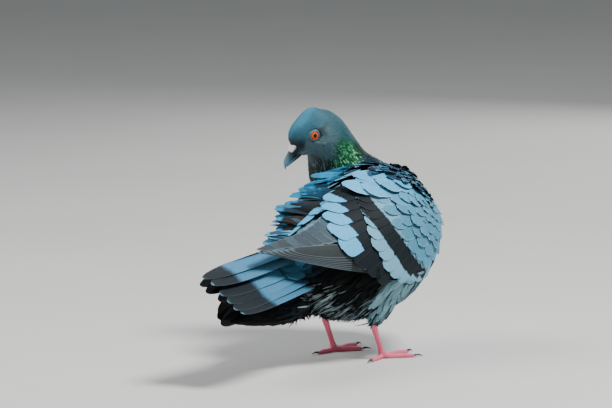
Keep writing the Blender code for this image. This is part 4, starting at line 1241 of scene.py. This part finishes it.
def raised(name, node, rows, count, colours, finish, seed, spread, narrow, droop, reach=1.0, rim=0.0):
    """A row of raised feathers from (root, tip, half width) rows, in colours given along the row.

    spread is how far short of its tip a feather may end, in mm; narrow and reach are factors of width and
    length; droop is how far the tips hang, in mm; rim is how strong the edge's own colour is.
    """
    rng = np.random.default_rng(seed)
    leaf = Leaf(6, 12, 0.72, 0.5)
    blades = Plumage(name)
    share = (np.arange(count) + 0.3) / count
    table = np.array([eased(rows, s) for s in share])
    root = table[:, :3] + rng.normal(0, 1.0, (count, 3))
    tip = table[:, 3:6] + rng.normal(0, 1.0, (count, 3)) * np.array([2.2, 1.2, 2.6])
    along = unit(tip - root)
    tip = root + (tip - root) * reach
    root, tip = root - along * 3, tip + along * rng.uniform(-spread, 0.5, (count, 1))
    rise = unit(np.array(RUFFLE_RISE) + rng.normal(0, 0.3, (count, 3)))
    half = table[:, 6] * narrow * rng.uniform(0.85, 1.1, count)
    middle = (root + tip) / 2 + rise * rng.uniform(0.8, 2.2, (count, 1))
    tip = tip - rise * (droop * rng.uniform(0.6, 1.3, (count, 1)))
    spine = [points * MM + np.array(ORIGIN) for points in (root, middle, tip)]
    leaves = bent_leaves(leaf, rng, *spine, rise, half, camber=0.16, thick=0.25, ragged=0.12)
    length = np.linalg.norm(tip - root, axis=1)
    stops, *columns = zip(*colours)
    top, back, mark = (
        np.stack([np.interp(share, stops, part) for part in np.array([COLOURS[c] for c in column]).T], axis=1)
        for column in columns
    )
    bar = np.stack([length * rng.uniform(0.72, 0.92, count), length + 5, np.full(count, rim)], axis=1)
    # A quarter of the later feathers lean to a painted highlight, a quarter to their own bronze.
    mood = rng.random((count, 1))
    highlight_and_bronze = np.where(mood < 0.25, COLOURS["ruffle_highlight"], np.where(mood > 0.75, COLOURS["bronze"], top))
    top = np.where(share[:, None] > 0.35, top + (highlight_and_bronze - top) * 0.5, top)
    top = top * rng.choice([0.25, 0.55, 1.0], count)[:, None]
    blades.lay(leaf, leaves, half, length, jitter(rng, top, 0.3), rng.random(count),
               cells(np.arange(count), 10), RAISED_PATCH, mark, back, bar)
    blades.join(finish, "body_plumage", node)


# Eyes, bill and legs


def horn_finish():
    """Bill horn: satin, dark slate with a paler blue tip, faintly streaked along its length."""
    material, tree, shader = new_material("bill_horn_satin", Roughness=0.36)
    place = add(tree, "TexCoord", out="Object")
    gap = add(tree, "VectorMath", place, tuple(in_head(32, 0, -9)), operation="DISTANCE", out="Value")
    near = add(tree, "MapRange", gap, 2 * MM, 13 * MM, 1.0, 0.0, **SMOOTH)
    colour = add(tree, "Mix", {0: near, 6: opaque("horn"), 7: opaque("horn_tip")}, **RGBA)
    cloud = add(tree, "TexNoise", {"Vector": place, "Scale": 1 / (2.5 * MM), "Detail": 3.0})
    shade = add(tree, "Math", cloud, 0.5, 0.75, operation="MULTIPLY_ADD")
    surfaced(tree, shader, colour, shade, cloud, strength=0.3, depth=0.15)
    return material


def granular_finish(name, colour, grain, depth, roughness):
    """Naked skin in fine grains: the cere's chalky white, the grey ring about the eye, gape and nostrils."""
    material, tree, shader = new_material(name, Roughness=roughness)
    place = add(tree, "TexCoord", out="Object")
    grains = add(tree, "TexVoronoi", {"Vector": place, "Scale": 1 / (grain * MM)}, out="Distance")
    cloud = add(tree, "TexNoise", {"Vector": place, "Scale": 1 / (2 * MM), "Detail": 2.0})
    shade = add(tree, "Math", cloud, 0.3, 0.95, operation="MULTIPLY_ADD")
    shade = add(tree, "Math", grains, -0.25, shade, operation="MULTIPLY_ADD")
    relief = add(tree, "Math", grains, -1.0, operation="MULTIPLY")
    surfaced(tree, shader, opaque(colour), shade, relief, strength=0.6, depth=depth)
    return material


def eye_finish():
    """A wet eye: black pupil, iris from orange to red with fine spokes, dark rim under the lids."""
    material, tree, shader = new_material("wet_eye", Roughness=0.3, Specular_IOR_Level=0.15, Coat_Weight=0.3,
                                          Coat_Roughness=0.03)
    place = add(tree, "Attribute", out="Vector", attribute_name="place")
    x, y, z = add(tree, "SeparateXYZ", place, out=ALL)
    flat = add(tree, "CombineXYZ", x, z)
    radius = add(tree, "VectorMath", flat, operation="LENGTH", out="Value")
    spokes = add(tree, "TexNoise", {"Vector": flat, "Scale": 2.2, "Detail": 3.0})
    spokes = add(tree, "Math", spokes, 0.8, radius, operation="MULTIPLY_ADD")
    outward = add(tree, "MapRange", spokes, PUPIL_RADIUS + 0.5, IRIS_RADIUS + 0.2, **SMOOTH)
    rim = add(tree, "MapRange", radius, IRIS_RADIUS - 0.35, IRIS_RADIUS + 0.05, **SMOOTH)
    pupil = add(tree, "MapRange", radius, PUPIL_RADIUS - 0.06, PUPIL_RADIUS + 0.06, 1.0, 0.0, **SMOOTH)
    colour = opaque("iris_inner")
    for share, over in ((outward, "iris"), (rim, "eye_rim"), (pupil, "pupil")):
        colour = add(tree, "Mix", {0: share, 6: colour, 7: opaque(over)}, **RGBA)
    tree.links.new(colour, shader.inputs["Base Color"])
    return material


def finished(bm, name, finish, slot, *nodes):
    """Makes a closed bmesh a piece, with its faces turned outwards."""
    bmesh.ops.recalc_face_normals(bm, faces=bm.faces)
    mesh = bpy.data.meshes.new(name)
    bm.to_mesh(mesh)
    bm.free()
    settled(shown(mesh, finish), slot, *nodes)


def make_eye(side, finish):
    """A flattened ball that looks out of the side of the head."""
    name = f"eye_{SIDE_NAMES[side]}"
    bm = bmesh.new()
    bmesh.ops.create_uvsphere(bm, u_segments=48, v_segments=24, radius=1)
    bmesh.ops.rotate(bm, verts=bm.verts, cent=(0, 0, 0), matrix=Matrix.Rotation(math.radians(90), 3, "X"))
    layer = bm.verts.layers.float_vector.new("place")
    for vert in bm.verts:
        vert[layer] = vert.co * Vector((EYE_RADIUS, EYE_HALF_DEPTH, EYE_RADIUS))
        vert.co = in_head(*(vert[layer] + Vector((0, side * EYE_OUT, 0))))
    finished(bm, name + "_ball", finish, "eye", name)


def tube(steps, around, point):
    """A closed skin of steps by around faces: point places each corner by its step and its angle. The seam is
    welded, and the ends are capped unless they meet."""
    bm = bmesh.new()
    bmesh.ops.create_grid(bm, x_segments=around, y_segments=steps, size=1)
    for vert in bm.verts:
        j, k = round((1 + vert.co.x) * around / 2), round((1 + vert.co.y) * steps / 2)
        vert.co = point(k, 2 * math.pi * (j % around) / around)
    bmesh.ops.remove_doubles(bm, verts=bm.verts, dist=1e-4 * MM)
    bmesh.ops.holes_fill(bm, edges=bm.edges)
    return bm


def rounded(value, power):
    """A power that keeps its sign, which makes a round section squarer."""
    return math.copysign(abs(value) ** power, value)


def make_lids(side, coat, finish):
    """The naked ring about an eye, from the eyeball's wet edge out to the first feathers."""
    steps, around = len(LID_PROFILE), 64

    def point(k, angle):
        share, rise = LID_PROFILE[k % steps]
        inner, outer = ((a * math.cos(angle), b * math.sin(angle)) for a, b in (LID_INNER, LID_OUTER))
        cheek = coat.out_from_head(side, *outer, start=22) or EYE_OUT
        cheek = min(max(cheek, EYE_OUT + 0.4), EYE_OUT + 1.7)
        ball = EYE_OUT + EYE_HALF_DEPTH * math.sqrt(max(1 - math.hypot(*inner) ** 2 / EYE_RADIUS**2, 0))
        x, z = (near + (far - near) * share for near, far in zip(inner, outer))
        return in_head(x, side * (ball + (cheek - 0.35 - ball) * min(share, 1) + rise), z)

    finished(tube(steps, around, point), f"{SIDE_NAMES[side]}_eye_ring", finish, "cere", "head")


def make_bill(name, node, rows, sign, finish):
    """One half of the bill: horn, rounded along its outer side and narrow where the halves meet."""
    steps = around = 28

    def point(k, angle):
        x, top, low, half = eased(rows, k / steps)
        z = math.sin(angle)
        z = rounded(z, 0.9 if z * sign > 0 else 0.5)
        return in_head(x, half * rounded(math.cos(angle), 0.85), (top + low) / 2 + (top - low) / 2 * z)

    finished(tube(steps, around, point), name, finish, "bill", node)


def make_cere(finish):
    """Two swollen chalky lobes over the root of the bill, with a groove between them."""
    steps, around = 20, 36

    def point(k, angle):
        x, top, low, half = eased(CERE, k / steps)
        swell = 1.05 * math.sqrt(max(1 - (2 * k / steps - 1) ** 4, 0.03))
        y, z = math.cos(angle), math.sin(angle)
        groove = 0.22 * math.exp(-((y / 0.16) ** 2)) * (z > 0)
        return in_head(x, half * swell * y, (top + low) / 2 + (top - low) / 2 * swell * (z - groove))

    finished(tube(steps, around, point), "cere_lobes", finish, "cere", "cere")


def make_nostrils(finish):
    """The slit of each nostril, under the front of the cere."""
    bm = bmesh.new()
    for side in (LEFT, RIGHT):
        for vert in bmesh.ops.create_uvsphere(bm, u_segments=16, v_segments=10, radius=1)["verts"]:
            x, y, z = vert.co
            vert.co = in_head(20.6 + 1.9 * x, side * 2.75 + 0.5 * y, -3.6 + 0.42 * z - 0.35 * x)
    finished(bm, "nostrils", finish, "bill", "bill_upper")


def make_gape(side, coat, finish):
    """A pale fleshy line from the bill to the corner of the mouth, proud of the small feathers about it."""
    steps, around = 16, 10
    bill_root = 16

    def point(k, angle):
        x, y, z, half = eased(GAPE, k / steps)
        if x < bill_root:
            y = max(y, coat.out_from_head(side, x, z, start=16) or y)
        return in_head(x, side * (y - 0.1 + 0.35 * math.cos(angle)), z + half * math.sin(angle))

    finished(tube(steps, around, point), f"{SIDE_NAMES[side]}_gape", finish, "bill", "head")


def leg_finish(side):
    """Scaly naked legs: coral skin, rings of scutes down the shank and along the toes."""
    material, tree, shader = new_material(f"scaly_leg_{SIDE_NAMES[side]}", Roughness=0.48,
                                          Subsurface_Weight=0.08, Subsurface_Scale=1.0 * MM)
    x, y, z = ANKLE
    ankle = at(x + (LEFT_LEG_AHEAD if side == LEFT else 0), side * y, z)
    place = add(tree, "TexCoord", out="Object")
    far = add(tree, "VectorMath", place, tuple(ankle), operation="DISTANCE", out="Value")
    wobble = add(tree, "TexNoise", {"Vector": place, "Scale": 1 / (1.5 * MM), "Detail": 2.0})
    run = add(tree, "Math", wobble, 0.9 * MM, far, operation="MULTIPLY_ADD")
    turn = add(tree, "Math", run, math.pi / (1.7 * MM), operation="MULTIPLY")  # scutes 1.7 mm long
    wave = add(tree, "Math", turn, operation="SINE")
    scute = add(tree, "Math", wave, operation="ABSOLUTE")
    cloud = add(tree, "TexNoise", {"Vector": place, "Scale": 1 / (5 * MM), "Detail": 3.0})
    colour = add(tree, "Mix", {0: cloud, 6: opaque("leg"), 7: opaque("leg_pale")}, **RGBA)
    groove = add(tree, "MapRange", scute, 0.0, 0.35, 0.62, 1.0, **SMOOTH)
    grains = add(tree, "TexVoronoi", {"Vector": place, "Scale": 1 / (0.9 * MM)}, out="Distance")
    domed = add(tree, "Math", scute, 0.5, operation="POWER")
    height = add(tree, "Math", grains, -0.3, domed, operation="MULTIPLY_ADD")
    surfaced(tree, shader, colour, groove, height, strength=0.7, depth=0.3)
    return material


def clouded_finish(name, roughness, first, second, scale, detail):
    """A plain surface in two close shades: near black claw horn worn paler, or the case's painted board."""
    material, tree, shader = new_material(name, Roughness=roughness)
    place = add(tree, "TexCoord", out="Object")
    cloud = add(tree, "TexNoise", {"Vector": place, "Scale": scale, "Detail": detail})
    colour = add(tree, "Mix", {0: cloud, 6: opaque(first), 7: opaque(second)}, **RGBA)
    tree.links.new(colour, shader.inputs["Base Color"])
    return material


def make_bare_parts(coat):
    """Eyes with their lids, bill with cere and gape, legs and claws."""
    wet, horn = eye_finish(), horn_finish()
    ring = granular_finish("eye_ring_skin", "lid", grain=0.55, depth=0.12, roughness=0.55)
    pale = granular_finish("gape_skin", "gape", grain=0.5, depth=0.08, roughness=0.5)
    chalk = granular_finish("cere_chalky", "cere", grain=0.4, depth=0.1, roughness=0.75)
    dark = granular_finish("nostril_dark", "nostril", grain=0.5, depth=0.05, roughness=0.6)
    claw = clouded_finish("claw_horn", 0.35, "claw_dark", "claw_worn", 1 / (1.2 * MM), 3.0)
    make_bill("upper_bill", "bill_upper", UPPER_BILL, 1, horn)
    make_bill("lower_bill", "bill_lower", LOWER_BILL, -1, horn)
    make_cere(chalk)
    make_nostrils(dark)
    for side in (LEFT, RIGHT):
        name = SIDE_NAMES[side]
        make_eye(side, wet)
        make_lids(side, coat, ring)
        make_gape(side, coat, pale)
        nodes = [f"tarsus_{name}", f"foot_{name}"]
        leg = welded(f"{name}_leg", nodes, voxel=0.4, rounds=5)
        settled(shown(leg, leg_finish(side)), "bare_leg", *nodes)
        for toe in TOES:
            node = f"claw_{name}_{toe}"
            tip = welded(f"{name}_{toe}_claw", [node], voxel=0.2, rounds=2)
            settled(shown(tip, claw), "claw", node)


# Case: floor, light and camera

LAMPS = (  # name, degrees about the upright, degrees up, size in metres, watts
    ("key", -88, 58, 0.5, 34),
    ("fill", 15, 25, 1.4, 7),
    ("rim", 130, 40, 1.0, 14),
)
LAMPS_AWAY = 1.6  # metres


def pointing(turn, height):
    """A unit vector at degrees about the upright from +X and degrees up."""
    a, b = math.radians(turn), math.radians(height)
    return Vector((math.cos(a) * math.cos(b), math.sin(a) * math.cos(b), math.sin(b)))


def aimed(name, data, place, way):
    """Puts a lamp or camera at a place, looking along a way."""
    made = bpy.data.objects.new(name, data)
    bpy.context.scene.collection.objects.link(made)
    made.location = place
    made.rotation_euler = way.to_track_quat("-Z", "Y").to_euler()
    return made


def lit():
    """A pale floor under soft studio light."""
    bpy.ops.mesh.primitive_plane_add(size=6, location=(0, 0, 0))
    floor = bpy.context.object
    floor.name = "floor"
    floor.data.materials.append(clouded_finish("matt_pale_board", 0.9, "board", "board_pale", 6.0, 2.0))

    middle = at(-40, 10, 90)
    for name, turn, height, size, power in LAMPS:
        light = bpy.data.lights.new(name, "AREA")
        light.shape = "DISK"
        light.size = size
        light.energy = power
        way = pointing(turn, height)
        aimed(name, light, middle + way * LAMPS_AWAY, -way)
    world = bpy.data.worlds.new("studio")
    world.use_nodes = True
    sky = world.node_tree.nodes["Background"].inputs
    sky["Color"].default_value = opaque("daylight")
    sky["Strength"].default_value = 0.3
    bpy.context.scene.world = world


CAMERA_TURN, CAMERA_DROP, CAMERA_AWAY = 36.87, 8, 3.0  # degrees to the left of +X, degrees down, metres
SEEN_LEFT, SEEN_UP = 40.9, 120.9  # the middle of the view, left of the origin and above it


def seen():
    """The camera: a long lens behind the bird's right side, a little above its back."""
    ahead = pointing(CAMERA_TURN, -CAMERA_DROP)
    right = ahead.cross(Vector((0, 0, 1))).normalized()
    target = ORIGIN + (right * -SEEN_LEFT + Vector((0, 0, SEEN_UP))) * MM
    lens = bpy.data.cameras.new("camera")
    lens.sensor_width = 36
    lens.lens = 224
    lens.clip_end = 20
    bpy.context.scene.camera = aimed("camera", lens, target - ahead * CAMERA_AWAY, ahead)


# Colours along the rows of raised feathers: (share of the way, upper side, underside, tip).
# The mantle's blue is painted brighter as painted light; the palest blue tips are painted highlights.
RUFFLE_COLOURS = [
    (0.0, "mantle", "mantle", "mantle"), (0.3, "mantle", "ruffle", "mantle"),
    (0.5, "ruffle", "ruffle_dark", "mantle"), (0.75, "ruffle_dark", "bronze", "mantle"),
    (1.0, "bronze", "bronze", "ruffle_highlight"),
]
SHORT_COLOURS = [
    (0.0, "mantle", "mantle", "mantle"), (0.5, "ruffle", "ruffle", "mantle"),
    (1.0, "bronze", "ruffle_dark", "ruffle_highlight"),
]
TERTIAL_COLOURS = [(0.0, "covert_pale", "bronze", "covert_pale"), (1.0, "covert", "flight", "covert")]

FINISHES = {
    "covert": feather_finish("covert_matt", 0.6, streak=0.12, relief=0.6, root=0.4),
    "bars": feather_finish("barred_covert_matt", 0.6, streak=0.12, relief=0.6),
    "quills": feather_finish("quill_satin", 0.5, streak=0.1, relief=0.5, edge="flight_edge"),
    "tail": feather_finish("tail_satin", 0.52, streak=0.08, relief=0.5, edge="tail_tip", soft=4.0),
    # its pale edge colour is painted highlight
    "ruffle": feather_finish("ruffled_scapular", 0.6, streak=0.42, relief=0.8, edge="ruffle_highlight", soft=2.0,
                             root=0.12),
    "tertial": feather_finish("tertial_matt", 0.55, streak=0.1, relief=0.5, edge="bar"),
}
coat = Coat()
dress_torso(coat)
for side in (RIGHT, LEFT):
    dress_wing(coat, side)
    dress_tail(side)
soft, firm = FINISHES["ruffle"], FINISHES["tertial"]
raised("ruffled_scapulars_left", "scapulars_left", RUFFLE, 96, RUFFLE_COLOURS, soft, seed=61, spread=10.0,
       narrow=0.3, droop=1.5)
raised("short_scapulars_left", "scapulars_left", RUFFLE, 70, SHORT_COLOURS, soft, seed=63, spread=9.0,
       narrow=0.3, droop=1.5, reach=0.65)
raised("raised_tertials_left", "tertials_left", TERTIALS, 8, TERTIAL_COLOURS, firm, seed=62, spread=4.0,
       narrow=0.6, droop=1.0, rim=0.9)
make_bare_parts(coat)
lit()
seen()
